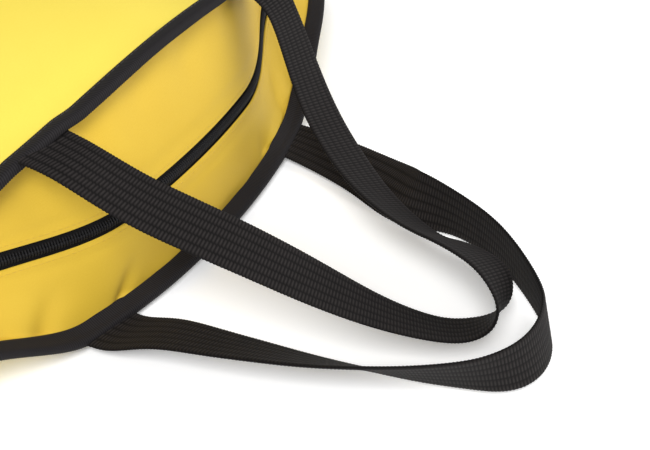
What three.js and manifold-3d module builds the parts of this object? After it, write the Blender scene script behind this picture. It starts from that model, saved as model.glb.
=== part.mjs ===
// Soft insulated cooler bag, lying on its back with its two webbing handles spread out in front.
// Frame: +X across the bag, +Y from the base towards the handles, +Z out of the front panel.
// The origin is the middle of the flat patch of the rear panel that the bag lies on. Millimetres.
// Each half of the bag is a panel and half of the gusset, sewn along a bound seam; the halves meet
// at the zip, which runs round the top and both sides, and fold open along a strip at the base.
import * as THREE from 'three';
import { mergeVertices } from 'three/addons/utils/BufferGeometryUtils.js';
import Module from 'manifold-3d';

const wasm = await Module();
wasm.setup();

// Outline of the rear panel, along its seam
const BAG_WIDTH = 450;
const BAG_HEIGHT = 310;
const TOP_ARC_RADIUS = 394;
const TOP_CORNER_RADIUS = 75;
const BASE_CORNER_RADIUS = 45;

// The front panel lies over the rear one, a little smaller in plan because it is domed
const FRONT_INSET_TOP = 25;
const FRONT_INSET_SIDE = 2;
const FRONT_INSET_BASE = 4;

// Heights of the two seams and of the zip between them
const REAR_SEAM_HEIGHT = 5.5;
const REAR_CORNER_LIFT = 26;
const REAR_LIFT_START = 90;
const REAR_LIFT_END = 153;
const FRONT_SEAM_HEIGHT = 109.5;
const FRONT_CORNER_DROP = 30;
const FRONT_DROP_END = 190;
const FRONT_CROWN_HEIGHT = 121;
const ZIP_HEIGHT = 48.5;
const ZIP_CORNER_LIFT = 5;

// Along the sides and the base the seams keep this share of the pinch that they have at the top corners
const SIDE_PINCH_SHARE = 0.5;

// How far the gusset swells out between its seams, round the bag
const BULGE_TOP = 6;
const BULGE_TOP_CORNER = -10;
const BULGE_SIDE = 4;
const BULGE_BASE = 15;

// Layers of the padded wall, from the outside in
const FABRIC = 1.2;
const FOAM = 5;
const LINING = 0.8;
const CLEARANCE = 0.3;
const PANEL_PADDING_INSET = 20;

// Bound seam: the fabric edges turn out into a flange, and a folded tape wraps the flange
const FLANGE_LENGTH = 8;
const TAPE_THICKNESS = 0.9;
const REAR_FLANGE_DIP = 3;
const FRONT_FLANGE_RISE = 16;

// Zip: opening between the fabric edges, its two tapes and its two rows of coil
const ZIP_OPENING = 8.8;
const ZIP_TAPE_WIDTH = 7;
const ZIP_TAPE_THICKNESS = 0.7;
const COIL_WIDTH = 1.6;
const COIL_THICKNESS = 1.6;
const COIL_GAP = 1.1;
const COIL_STANDS_PROUD = 0.5;
const PADDING_SETBACK = 8.3;

// Zip slider and its pull
const SLIDER_LENGTH = 12;
const SLIDER_WIDTH = 9;
const SLIDER_PLATE = 1.2;
const SLIDER_POST_LENGTH = 4;
const SLIDER_POST_THICKNESS = 0.5;
const SLIDER_PARK_ABOVE_FOOT = 12;
const SLIDER_RUNNING_GAP = 0.4;
const PULL_LENGTH = 24;
const PULL_WIDTH = 5;
const PULL_THICKNESS = 1.2;
const PULL_EYE_RADIUS = 1.7;
const PULL_PIN_RADIUS = 0.6;
const LUG_THICKNESS = 1.2;

// Handles: flat webbing, sewn into the seams at both ends
const WEBBING_WIDTH = 30;
const WEBBING_THICKNESS = 1.8;
const HANDLE_SPACING = 170;
const SEWN_END_LENGTH = 3;
const SEWN_END_GAP = 1.5;
const SEWN_END_TAPER = 0.6;
const HANDLE_STEPS = 54;

// Where each handle lies: centre x, distance out from its sewn ends, height z, and the direction across it
const FRONT_HANDLE_ROUTE = [
  [82.9, 10.2, 98, 0.99, 0.14, 0.02],
  [78.9, 32.9, 86.4, 0.98, 0.21, -0.06],
  [72, 55.1, 76, 0.95, 0.28, -0.11],
  [63.5, 76.3, 64.8, 0.93, 0.34, -0.1],
  [54.1, 96.2, 51.9, 0.92, 0.39, -0.08],
  [44.3, 115.5, 38.6, 0.88, 0.47, 0.02],
  [34, 135, 26.1, 0.81, 0.55, 0.2],
  [22.3, 155.5, 16.6, 0.73, 0.58, 0.36],
  [15.3, 165.9, 14.9, 0.72, 0.56, 0.4],
  [7.7, 174.4, 17.6, 0.72, 0.43, 0.54],
  [0.6, 177.1, 24.2, 0.74, 0.07, 0.67],
  [-6, 172.2, 31.3, 0.79, -0.22, 0.58],
  [-11.7, 162, 35.2, 0.83, -0.3, 0.47],
  [-19, 137.6, 32.4, 0.78, -0.29, 0.56],
  [-21.3, 129.4, 29.8, 0.72, -0.29, 0.63],
  [-25.9, 113.5, 30.2, 0.77, -0.29, 0.57],
  [-36.2, 90.5, 32.1, 0.81, -0.29, 0.51],
  [-47.9, 69, 39.1, 0.85, -0.28, 0.45],
  [-59.3, 49.2, 50, 0.87, -0.21, 0.44],
  [-70.3, 32.6, 65.6, 0.9, -0.11, 0.42],
  [-79.7, 17.9, 84, 0.92, 0.01, 0.39],
  [-83, 9.6, 92.7, 0.95, 0.02, 0.3],
];
const REAR_HANDLE_ROUTE = [
  [82.2, 20.1, 13.8, 0.97, 0.09, 0.22],
  [78.5, 43.3, 15.3, 0.92, 0.16, 0.35],
  [73.4, 66.2, 15.8, 0.85, 0.2, 0.49],
  [67.3, 89, 15.4, 0.78, 0.24, 0.57],
  [59.8, 111.2, 15.4, 0.67, 0.24, 0.71],
  [51.5, 133.1, 15.4, 0.51, 0.2, 0.84],
  [41.4, 154.2, 16.2, 0.32, 0.12, 0.94],
  [35.2, 163.8, 16.9, 0.16, 0, 0.99],
  [27.2, 171.6, 17.7, 0.03, -0.15, 0.99],
  [16.7, 175.8, 18.4, 0, -0.26, 0.97],
  [5, 175.8, 18.6, 0.04, -0.27, 0.96],
  [-6.1, 172.2, 18.4, 0.07, -0.23, 0.97],
  [-15.8, 165.5, 17.9, 0.09, -0.16, 0.98],
  [-32.4, 148.6, 17.9, 0.11, -0.09, 0.99],
  [-46.2, 129.3, 18.6, 0.16, -0.09, 0.98],
  [-54.7, 107.3, 18.2, 0.13, -0.1, 0.99],
  [-57.3, 95.9, 17.4, 0.01, -0.1, 0.99],
  [-58.8, 85.7, 16.3, -0.2, -0.08, 0.97],
  [-60.2, 77, 14.5, -0.48, 0.03, 0.87],
  [-64, 67.9, 12.1, -0.73, 0.15, 0.66],
  [-69.3, 57.6, 9.9, -0.87, 0.25, 0.42],
  [-74.6, 46, 8, -0.94, 0.26, 0.22],
  [-81.2, 22.7, 6.1, -0.97, 0.19, 0.14],
];

// The rear handle is turned over on its way, so both its ends show the same face; the front one rolls back
// on itself, and its second end shows the other face
const HANDLE_END_WIDTH = { rear: -1, front: 1 };

// Depths below the outer face of the wall at which each layer starts and ends
const FOAM_TOP = FABRIC + 2 * CLEARANCE;
const FOAM_BOTTOM = FOAM_TOP + FOAM;
const LINING_TOP = FOAM_BOTTOM + CLEARANCE;
const LINING_BOTTOM = LINING_TOP + LINING;
const WALL_LAYERS = {
  fabric: [0, FABRIC],
  foam: [FOAM_TOP, FOAM_BOTTOM],
  lining: [LINING_TOP, LINING_BOTTOM],
};

// Half thicknesses of the flange and of the tape folded over it
const FLANGE_INNER = CLEARANCE / 2;
const FLANGE_OUTER = FLANGE_INNER + FABRIC;
const TAPE_INNER = FLANGE_OUTER + CLEARANCE;
const TAPE_OUTER = TAPE_INNER + TAPE_THICKNESS;
const BINDING_REACH = FLANGE_LENGTH + CLEARANCE + TAPE_THICKNESS;

const radians = THREE.MathUtils.degToRad;
const smooth = (from, to, value) => THREE.MathUtils.smoothstep(value, from, to);

const MATERIALS = {
  fabric: new THREE.MeshStandardMaterial({ color: 0xe9c93f, roughness: 0.55, metalness: 0 }),
  foam: new THREE.MeshStandardMaterial({ color: 0xf2f2ee, roughness: 0.9, metalness: 0 }),
  lining: new THREE.MeshStandardMaterial({ color: 0xc9ccce, roughness: 0.35, metalness: 0.3 }),
  binding: new THREE.MeshStandardMaterial({ color: 0x2e2c2f, roughness: 0.75, metalness: 0 }),
  webbing: new THREE.MeshStandardMaterial({ color: 0x1c1a19, roughness: 0.8, metalness: 0 }),
  zip: new THREE.MeshStandardMaterial({ color: 0x161515, roughness: 0.45, metalness: 0 }),
  metal: new THREE.MeshStandardMaterial({ color: 0x232325, roughness: 0.4, metalness: 0.7 }),
};

// Outline stations, anticlockwise from the foot of the +X side: the zip's run comes first
function outlineStations() {
  const stations = [];
  const arc = (cx, cy, radius, from, to, steps) => {
    for (let k = 0; k < steps; k += 1) {
      const angle = from + ((to - from) * k) / steps;
      const normal = new THREE.Vector2(Math.cos(angle), Math.sin(angle));
      stations.push({ x: cx + radius * normal.x, y: cy + radius * normal.y, normal });
    }
  };
  const line = (x0, y0, x1, y1, nx, ny, steps) => {
    for (let k = 0; k < steps; k += 1) {
      const t = k / steps;
      stations.push({ x: x0 + (x1 - x0) * t, y: y0 + (y1 - y0) * t, normal: new THREE.Vector2(nx, ny) });
    }
  };
  const half = BAG_WIDTH / 2;
  const base = -BAG_HEIGHT / 2;
  const arcCentre = BAG_HEIGHT / 2 - TOP_ARC_RADIUS;
  const cornerX = half - TOP_CORNER_RADIUS;
  const spread = Math.asin(cornerX / (TOP_ARC_RADIUS - TOP_CORNER_RADIUS));
  const cornerY = arcCentre + (TOP_ARC_RADIUS - TOP_CORNER_RADIUS) * Math.cos(spread);
  const footX = half - BASE_CORNER_RADIUS;
  const footY = base + BASE_CORNER_RADIUS;
  line(half, footY, half, cornerY, 1, 0, 4);
  arc(cornerX, cornerY, TOP_CORNER_RADIUS, 0, Math.PI / 2 - spread, 5);
  arc(0, arcCentre, TOP_ARC_RADIUS, Math.PI / 2 - spread, Math.PI / 2 + spread, 14);
  arc(-cornerX, cornerY, TOP_CORNER_RADIUS, Math.PI / 2 + spread, Math.PI, 5);
  line(-half, cornerY, -half, footY, -1, 0, 4);
  const zipEnd = stations.length;
  arc(-footX, footY, BASE_CORNER_RADIUS, Math.PI, 1.5 * Math.PI, 5);
  line(-footX, base, footX, base, 0, -1, 6);
  arc(footX, footY, BASE_CORNER_RADIUS, 1.5 * Math.PI, 2 * Math.PI, 5);
  return { stations, zipEnd };
}

// How far a place on the outline belongs to the top edge: 0 along the sides and the base, 1 at the top
function topShare(y) {
  return smooth(0.15, 0.55, y / (BAG_HEIGHT / 2));
}

function cornerPinch(y) {
  return THREE.MathUtils.lerp(SIDE_PINCH_SHARE, 1, topShare(y));
}

// Heights of the seams and of the zip, and swell of the gusset, at a place on the outline
function rearSeamHeight(x, y) {
  const lift = REAR_CORNER_LIFT * smooth(REAR_LIFT_START, REAR_LIFT_END, Math.abs(x));
  return REAR_SEAM_HEIGHT + lift * cornerPinch(y);
}

function frontSeamHeight(x, y) {
  const share = Math.min(Math.abs(x) / FRONT_DROP_END, 1);
  const drop = FRONT_CORNER_DROP * Math.sin((Math.PI / 2) * share) ** 2;
  return FRONT_SEAM_HEIGHT - drop * cornerPinch(y);
}

function zipHeight(x, y) {
  return ZIP_HEIGHT + ZIP_CORNER_LIFT * smooth(60, 150, Math.abs(x)) * topShare(y);
}

function gussetBulge(x, y) {
  const top = THREE.MathUtils.lerp(BULGE_TOP, BULGE_TOP_CORNER, smooth(52, 139, Math.abs(x)));
  const toBase = smooth(0, BASE_CORNER_RADIUS, BASE_CORNER_RADIUS - BAG_HEIGHT / 2 - y);
  const low = THREE.MathUtils.lerp(BULGE_SIDE, BULGE_BASE, toBase);
  return THREE.MathUtils.lerp(low, top, topShare(y));
}

// Place of the front seam above a rear outline point
function frontPlan(x, y) {
  const base = -BAG_HEIGHT / 2;
  const shrink = (BAG_HEIGHT - FRONT_INSET_TOP - FRONT_INSET_BASE) / BAG_HEIGHT;
  return {
    x: (x * (BAG_WIDTH - 2 * FRONT_INSET_SIDE)) / BAG_WIDTH,
    y: base + FRONT_INSET_BASE + (y - base) * shrink,
  };
}

// One cross section of the bag's edge: both seams with their flange directions, and the gusset curve
function edgeSection({ x, y, normal }) {
  const out = new THREE.Vector3(normal.x, normal.y, 0);
  const up = new THREE.Vector3(0, 0, 1);
  const front = frontPlan(x, y);
  const seam = {
    rear: new THREE.Vector3(x, y, rearSeamHeight(x, y)),
    front: new THREE.Vector3(front.x, front.y, frontSeamHeight(x, y)),
  };
  const rise = { rear: radians(-REAR_FLANGE_DIP), front: radians(FRONT_FLANGE_RISE) };
  const turned = (angle) => out.clone().multiplyScalar(Math.cos(angle)).addScaledVector(up, Math.sin(angle));
  const along = { rear: turned(rise.rear), front: turned(rise.front) };
  const across = { rear: turned(rise.rear + Math.PI / 2), front: turned(rise.front + Math.PI / 2) };
  // A point of a seam's flange: a out from the seam, b towards the front of the bag
  const flange = (half, a, b) =>
    seam[half].clone().addScaledVector(along[half], a).addScaledVector(across[half], b);
  const foot = flange('rear', 0, FLANGE_OUTER);
  const head = flange('front', 0, -FLANGE_OUTER);
  const middle = foot.clone().lerp(head, 0.5).addScaledVector(out, gussetBulge(x, y));
  middle.z = zipHeight(x, y);
  const span = foot.distanceTo(head);
  // The gusset's outer face at t, from the rear seam at 0 past the zip at 0.5 to the front seam at 1
  const wall = (t, depth) => {
    const point = new THREE.Vector3()
      .addScaledVector(foot, (1 - t) * (1 - 2 * t))
      .addScaledVector(middle, 4 * t * (1 - t))
      .addScaledVector(head, t * (2 * t - 1));
    const slope = new THREE.Vector3()
      .addScaledVector(foot, 4 * t - 3)
      .addScaledVector(middle, 4 - 8 * t)
      .addScaledVector(head, 4 * t - 1);
    const face = out.clone().multiplyScalar(slope.z).addScaledVector(up, -slope.dot(out)).normalize();
    return point.addScaledVector(face, -depth);
  };
  // The same face, a given distance from the middle of the zip
  const nearZip = (offset, depth) => wall(0.5 + offset / span, depth);
  return { out, flange, wall, nearZip, seam, span, middle };
}

const { stations: STATIONS, zipEnd: ZIP_END } = outlineStations();
const SECTIONS = STATIONS.map(edgeSection);
const ZIP_RUN = STATIONS.slice(0, ZIP_END + 1);
const BASE_RUN = [...STATIONS.slice(ZIP_END), STATIONS[0]];

// A closed solid from rings of points: one face's points, then the other's in reverse, so ends are quads
function ringSolid(rings, closed) {
  const sides = rings[0].length;
  const positions = rings.flat().flatMap((point) => [point.x, point.y, point.z]);
  const index = [];
  const loops = closed ? rings.length : rings.length - 1;
  for (let r = 0; r < loops; r += 1) {
    const here = r * sides;
    const next = ((r + 1) % rings.length) * sides;
    for (let s = 0; s < sides; s += 1) {
      const side = (s + 1) % sides;
      // Both faces are split along the same diagonals, so that nested layers stay apart
      if (s < sides / 2) {
        index.push(here + s, here + side, next + side, here + s, next + side, next + s);
      } else {
        index.push(here + s, here + side, next + s, here + side, next + side, next + s);
      }
    }
  }
  if (!closed) {
    const last = (rings.length - 1) * sides;
    for (let s = 0; s < sides / 2 - 1; s += 1) {
      const mate = sides - 1 - s;
      index.push(s, mate, mate - 1, s, mate - 1, s + 1);
      index.push(last + s, last + mate - 1, last + mate, last + s, last + s + 1, last + mate - 1);
    }
  }
  return facesOut(positions, index);
}

// A closed solid from two facing sheets of rings that each end in a middle point
function discSolid(upperRings, upperMiddle, lowerRings, lowerMiddle) {
  const sides = upperRings[0].length;
  const rings = [...upperRings, ...[...lowerRings].reverse()];
  const points = [upperMiddle, ...rings.flat(), lowerMiddle];
  const positions = points.flatMap((point) => [point.x, point.y, point.z]);
  const index = [];
  const last = points.length - 1;
  for (let s = 0; s < sides; s += 1) {
    const side = (s + 1) % sides;
    index.push(0, 1 + s, 1 + side);
    for (let r = 0; r < rings.length - 1; r += 1) {
      const here = 1 + r * sides;
      const next = here + sides;
      // Both sheets are split along the same diagonals, so that nested sheets stay apart
      if (r < upperRings.length) {
        index.push(here + s, next + s, next + side, here + s, next + side, here + side);
      } else {
        index.push(here + s, next + s, here + side, next + s, next + side, here + side);
      }
    }
    const rim = 1 + (rings.length - 1) * sides;
    index.push(rim + s, last, rim + side);
  }
  return facesOut(positions, index);
}

// Indexed geometry with its faces turned outwards
function facesOut(positions, index) {
  const geometry = new THREE.BufferGeometry();
  geometry.setAttribute('position', new THREE.Float32BufferAttribute(positions, 3));
  let volume = 0;
  const a = new THREE.Vector3();
  const b = new THREE.Vector3();
  const c = new THREE.Vector3();
  for (let k = 0; k < index.length; k += 3) {
    a.fromArray(positions, 3 * index[k]);
    b.fromArray(positions, 3 * index[k + 1]);
    c.fromArray(positions, 3 * index[k + 2]);
    volume += a.dot(b.cross(c));
  }
  if (volume < 0) {
    for (let k = 0; k < index.length; k += 3) {
      [index[k], index[k + 1]] = [index[k + 1], index[k]];
    }
  }
  geometry.setIndex(index);
  geometry.computeVertexNormals();
  return geometry;
}

// Panels

// Rings of a panel's sheet: shares of the way from the middle to the rim
const PANEL_RINGS = [0.35, 0.62, 0.78, 0.9];
const PADDING_RINGS = [0.35, 0.62, 0.78, 1];
const REAR_FLAT_SHARE = 0.62;
const FRONT_CROWN_POWER = 2.2;

// Height of a panel's outer face at a share of the way out to the seam at a section
function panelHeight(half, section, share) {
  const rim = section.flange(half, 0, half === 'rear' ? -FLANGE_OUTER : FLANGE_OUTER).z;
  if (half === 'rear') {
    return rim * smooth(REAR_FLAT_SHARE, 1.0, share);
  }
  return FRONT_CROWN_HEIGHT + (rim - FRONT_CROWN_HEIGHT) * share ** FRONT_CROWN_POWER;
}

// A point a depth inside a panel's outer face, no nearer to the seam than the inset
function panelPoint(half, section, share, inset, depth) {
  const middle = panelMiddle(half);
  const ray = section.seam[half].clone().sub(middle);
  const inward = half === 'rear' ? depth : -depth;
  const drawn = Math.min(share, 1 - inset / ray.dot(section.out));
  return new THREE.Vector3(
    middle.x + ray.x * drawn,
    middle.y + ray.y * drawn,
    panelHeight(half, section, drawn) + inward,
  );
}

function panelMiddle(half) {
  const plan = half === 'rear' ? { x: 0, y: 0 } : frontPlan(0, 0);
  return new THREE.Vector3(plan.x, plan.y, half === 'rear' ? 0 : FRONT_CROWN_HEIGHT);
}

// Outer fabric of a panel, out to the edge of the flange that the binding wraps
function fabricPanel(half) {
  const facing = half === 'rear' ? -1 : 1;
  const sheet = (depth, flangeFace) => {
    const rings = PANEL_RINGS.map((share) =>
      SECTIONS.map((section) => panelPoint(half, section, share, 0, depth)));
    for (const reach of [0, FLANGE_LENGTH]) {
      rings.push(SECTIONS.map((section) => section.flange(half, reach, facing * flangeFace)));
    }
    return rings;
  };
  const middle = panelMiddle(half);
  const inner = middle.clone();
  inner.z -= facing * FABRIC;
  return discSolid(sheet(0, FLANGE_OUTER), middle, sheet(FABRIC, FLANGE_INNER), inner);
}

// Foam or lining of a panel, inside the gusset's fabric
function panelPadding(half, [top, bottom]) {
  const facing = half === 'rear' ? -1 : 1;
  const sheet = (depth) => PADDING_RINGS.map((share) =>
    SECTIONS.map((section) => panelPoint(half, section, share, PANEL_PADDING_INSET, depth)));
  const upper = panelMiddle(half);
  const lower = upper.clone();
  upper.z -= facing * top;
  lower.z -= facing * bottom;
  return discSolid(sheet(top), upper, sheet(bottom), lower);
}

// Gusset

const GUSSET_ROWS = 5;
const PADDING_ROWS = 3;

// Outer fabric of half of the gusset: its flange at the seam and its wall up to the zip
function fabricGusset(half) {
  const facing = half === 'rear' ? 1 : -1;
  const rings = SECTIONS.map((section) => {
    const zipEdge = 0.5 - (facing * ZIP_OPENING) / 2 / section.span;
    const seamEdge = half === 'rear' ? 0 : 1;
    const rows = (depth) => {
      const points = [];
      for (let k = 1; k <= GUSSET_ROWS; k += 1) {
        points.push(section.wall(seamEdge + ((zipEdge - seamEdge) * k) / GUSSET_ROWS, depth));
      }
      return points;
    };
    const outerCorner = section.flange(half, 0, facing * FLANGE_OUTER);
    const innerCorner = section.flange(half, -FABRIC, facing * FLANGE_INNER);
    return [
      section.flange(half, FLANGE_LENGTH, facing * FLANGE_OUTER),
      outerCorner,
      ...rows(0),
      ...rows(FABRIC).reverse(),
      innerCorner,
      section.flange(half, FLANGE_LENGTH, facing * FLANGE_INNER),
    ];
  });
  return ringSolid(rings, true);
}

// Foam or lining of half of the gusset, clear of the panel's padding and set back from the zip
function gussetPadding(half, [top, bottom]) {
  const facing = half === 'rear' ? 1 : -1;
  const panelWall = LINING_BOTTOM + FLANGE_OUTER + 2;
  const rings = SECTIONS.map((section) => {
    const rise = Math.abs(section.middle.z - section.seam[half].z);
    const seamEdge = (half === 'rear' ? 0 : 1) + (facing * 0.5 * panelWall) / rise;
    const zipEdge = 0.5 - (facing * PADDING_SETBACK) / section.span;
    const rows = (depth) => {
      const points = [];
      for (let k = 0; k <= PADDING_ROWS; k += 1) {
        points.push(section.wall(seamEdge + ((zipEdge - seamEdge) * k) / PADDING_ROWS, depth));
      }
      return points;
    };
    return [...rows(top), ...rows(bottom).reverse()];
  });
  return ringSolid(rings, true);
}

// Binding tape folded round the edge of a seam's flange, a little shorter on the gusset's side
function binding(half) {
  const facing = half === 'rear' ? -1 : 1;
  const fold = FLANGE_LENGTH + CLEARANCE;
  const round = TAPE_OUTER * 0.4;
  const panelEdge = 0.6;
  const gussetEdge = 1.4;
  const rings = SECTIONS.map((section) => {
    const at = (a, b) => section.flange(half, a, facing * b);
    return [
      at(panelEdge, TAPE_OUTER),
      at(BINDING_REACH - round, TAPE_OUTER),
      at(BINDING_REACH, round),
      at(BINDING_REACH, -round),
      at(BINDING_REACH - round, -TAPE_OUTER),
      at(gussetEdge, -TAPE_OUTER),
      at(gussetEdge, -TAPE_INNER),
      at(fold, -TAPE_INNER),
      at(fold, TAPE_INNER),
      at(panelEdge, TAPE_INNER),
    ];
  });
  return ringSolid(rings, true);
}

// Zip and the strip that the halves fold on

// A flat strip along a run of the outline, between two offsets from the zip's middle
function edgeStrip(run, from, to, top, bottom) {
  const rings = run.map((station) => {
    const section = edgeSection(station);
    return [
      section.nearZip(from, top),
      section.nearZip(to, top),
      section.nearZip(to, bottom),
      section.nearZip(from, bottom),
    ];
  });
  return ringSolid(rings, false);
}

const SLIDER_PARK = BASE_CORNER_RADIUS - BAG_HEIGHT / 2 + SLIDER_PARK_ABOVE_FOOT;

// The rear half of the zip starts at the foot of the side, the front half just above the parked slider
const FRONT_ZIP_START = SLIDER_PARK + SLIDER_LENGTH / 2 + 1;
const FRONT_ZIP_RUN = [{ ...ZIP_RUN[0], y: FRONT_ZIP_START }, ...ZIP_RUN.slice(1)];
const COIL_BOTTOM = COIL_THICKNESS - COIL_STANDS_PROUD;
const ZIP_TAPE_TOP = Math.max(COIL_BOTTOM, FABRIC) + 2 * CLEARANCE;
const ZIP_TAPE_BOTTOM = ZIP_TAPE_TOP + ZIP_TAPE_THICKNESS;

function zipTape(half) {
  const facing = half === 'rear' ? -1 : 1;
  const run = half === 'rear' ? ZIP_RUN : FRONT_ZIP_RUN;
  const inner = (facing * COIL_GAP) / 2;
  return edgeStrip(run, inner, inner + facing * ZIP_TAPE_WIDTH, ZIP_TAPE_TOP, ZIP_TAPE_BOTTOM);
}

// One row of coil, rounded where it stands proud of the fabric
function zipCoil(half) {
  const facing = half === 'rear' ? -1 : 1;
  const run = half === 'rear' ? ZIP_RUN : FRONT_ZIP_RUN;
  const inner = (facing * COIL_GAP) / 2;
  const outer = inner + facing * COIL_WIDTH;
  const shoulder = COIL_BOTTOM * 0.3;
  const rings = run.map((station) => {
    const section = edgeSection(station);
    return [
      section.nearZip(inner, shoulder),
      section.nearZip(inner + (facing * COIL_WIDTH) / 4, -COIL_STANDS_PROUD),
      section.nearZip(outer - (facing * COIL_WIDTH) / 4, -COIL_STANDS_PROUD),
      section.nearZip(outer, shoulder),
      section.nearZip(outer, COIL_BOTTOM),
      section.nearZip(inner, COIL_BOTTOM),
    ];
  });
  return coilSolid(rings);
}

// A coil's six-sided section closed at both ends
function coilSolid(rings) {
  const order = [1, 2, 3, 4, 5, 0];
  return ringSolid(rings.map((ring) => order.map((k) => ring[k])), false);
}

function baseHingeStrip() {
  const half = ZIP_OPENING / 2 - 2 * CLEARANCE;
  return edgeStrip(BASE_RUN, -half, half, 0, FABRIC);
}

// Slider and pull

// Solid for cutting and joining, from a closed geometry
function toSolid(geometry) {
  const bare = geometry.clone();
  bare.deleteAttribute('normal');
  bare.deleteAttribute('uv');
  const merged = mergeVertices(bare, 1e-4);
  return new wasm.Manifold(new wasm.Mesh({
    numProp: 3,
    vertProperties: new Float32Array(merged.attributes.position.array),
    triVerts: new Uint32Array(merged.index.array),
  }));
}

function toGeometry(solid) {
  const mesh = solid.getMesh();
  const geometry = new THREE.BufferGeometry();
  geometry.setAttribute('position', new THREE.Float32BufferAttribute(mesh.vertProperties, 3));
  geometry.setIndex([...mesh.triVerts]);
  geometry.computeVertexNormals();
  return geometry;
}

// Slider frame at the parked place: x along the zip, y across it, z out of the bag
function sliderFrame() {
  const section = edgeSection({ ...STATIONS[0], y: SLIDER_PARK });
  const along = new THREE.Vector3(0, 1, 0);
  const across = section.nearZip(1, 0).sub(section.nearZip(-1, 0)).normalize();
  const outward = new THREE.Vector3().crossVectors(along, across);
  return new THREE.Matrix4().makeBasis(along, across, outward).setPosition(section.nearZip(0, 0));
}

const SLIDER_TOP_INNER = COIL_STANDS_PROUD + SLIDER_RUNNING_GAP;
const SLIDER_TOP_OUTER = SLIDER_TOP_INNER + SLIDER_PLATE;
const SLIDER_BOTTOM_INNER = -ZIP_TAPE_BOTTOM - SLIDER_RUNNING_GAP;
const PULL_AXIS_HEIGHT = SLIDER_TOP_OUTER + PULL_EYE_RADIUS + CLEARANCE;

// Plate of a slider: wide where the two rows enter, drawn in where they leave together
function sliderPlate(from, thickness) {
  const nose = SLIDER_LENGTH / 2;
  const wide = SLIDER_WIDTH / 2;
  const narrow = wide * 0.62;
  const shape = new THREE.Shape();
  shape.moveTo(nose, -wide * 0.6);
  shape.lineTo(nose, wide * 0.6);
  shape.lineTo(nose * 0.6, wide);
  shape.lineTo(-nose * 0.1, wide);
  shape.lineTo(-nose, narrow);
  shape.lineTo(-nose, -narrow);
  shape.lineTo(-nose * 0.1, -wide);
  shape.lineTo(nose * 0.6, -wide);
  shape.closePath();
  const plate = new THREE.ExtrudeGeometry(shape, { depth: thickness, bevelEnabled: false });
  return plate.translate(0, 0, from);
}

function zipSlider() {
  const postHeight = SLIDER_TOP_INNER - SLIDER_BOTTOM_INNER + SLIDER_PLATE;
  const post = new THREE.BoxGeometry(SLIDER_POST_LENGTH, SLIDER_POST_THICKNESS, postHeight);
  const postMiddle = (SLIDER_TOP_INNER + SLIDER_BOTTOM_INNER) / 2;
  post.translate(SLIDER_LENGTH / 2 - SLIDER_POST_LENGTH, 0, postMiddle);
  const lugGap = PULL_WIDTH / 2 + CLEARANCE;
  const lug = (side) => {
    const shape = new THREE.Shape();
    const radius = PULL_EYE_RADIUS;
    shape.moveTo(-radius, SLIDER_TOP_OUTER - SLIDER_PLATE / 2);
    shape.lineTo(radius, SLIDER_TOP_OUTER - SLIDER_PLATE / 2);
    shape.lineTo(radius, PULL_AXIS_HEIGHT);
    shape.absarc(0, PULL_AXIS_HEIGHT, radius, 0, Math.PI, false);
    shape.closePath();
    const ear = new THREE.ExtrudeGeometry(shape, { depth: LUG_THICKNESS, bevelEnabled: false, curveSegments: 8 });
    ear.rotateX(Math.PI / 2);
    return ear.translate(0, side > 0 ? lugGap + LUG_THICKNESS : -lugGap, 0);
  };
  const pin = new THREE.CylinderGeometry(PULL_PIN_RADIUS, PULL_PIN_RADIUS, 2 * lugGap + LUG_THICKNESS, 10);
  pin.translate(0, 0, PULL_AXIS_HEIGHT);
  const pieces = [
    sliderPlate(SLIDER_TOP_INNER, SLIDER_PLATE),
    sliderPlate(SLIDER_BOTTOM_INNER - SLIDER_PLATE, SLIDER_PLATE),
    post,
    lug(1),
    lug(-1),
    pin,
  ].map(toSolid);
  const joined = pieces.slice(1).reduce((whole, piece) => whole.add(piece), pieces[0]);
  return toGeometry(joined);
}

// Pull: a flat tab with an eye on the slider's pin, lying along the zip towards the top of the bag
function zipPull() {
  const shape = new THREE.Shape();
  const half = PULL_THICKNESS / 2;
  const tail = Math.asin(half / PULL_EYE_RADIUS);
  shape.absarc(0, 0, PULL_EYE_RADIUS, tail, 2 * Math.PI - tail, false);
  shape.lineTo(PULL_LENGTH - half, -half);
  shape.absarc(PULL_LENGTH - half, 0, half, -Math.PI / 2, Math.PI / 2, false);
  shape.closePath();
  const eye = new THREE.Path();
  eye.absarc(0, 0, PULL_PIN_RADIUS + CLEARANCE, 0, 2 * Math.PI, true);
  shape.holes.push(eye);
  const tab = new THREE.ExtrudeGeometry(shape, { depth: PULL_WIDTH, bevelEnabled: false, curveSegments: 8 });
  tab.rotateX(Math.PI / 2);
  tab.translate(0, PULL_WIDTH / 2, PULL_AXIS_HEIGHT);
  return toGeometry(toSolid(tab));
}

// Handles

// Outermost point of a binding's fold along the top edge, at a given x
function foldPoint(half, x) {
  const arcCentre = BAG_HEIGHT / 2 - TOP_ARC_RADIUS;
  const spread = half === 'rear' ? 1 : BAG_WIDTH / (BAG_WIDTH - 2 * FRONT_INSET_SIDE);
  let seamX = x;
  let point = null;
  for (let k = 0; k < 4; k += 1) {
    const rearX = seamX * spread;
    const normal = new THREE.Vector2(rearX, Math.sqrt(TOP_ARC_RADIUS ** 2 - rearX ** 2)).normalize();
    const y = arcCentre + TOP_ARC_RADIUS * normal.y;
    point = edgeSection({ x: rearX, y, normal }).flange(half, BINDING_REACH, 0);
    seamX += x - point.x;
  }
  return point;
}

// Line that a handle swings on, across the bag just outside its sewn ends
function handleAxis(half) {
  const inner = foldPoint(half, (HANDLE_SPACING - WEBBING_WIDTH) / 2);
  const centre = foldPoint(half, HANDLE_SPACING / 2);
  return { y: inner.y + CLEARANCE + SEWN_END_LENGTH + SEWN_END_GAP, z: centre.z };
}

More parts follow.
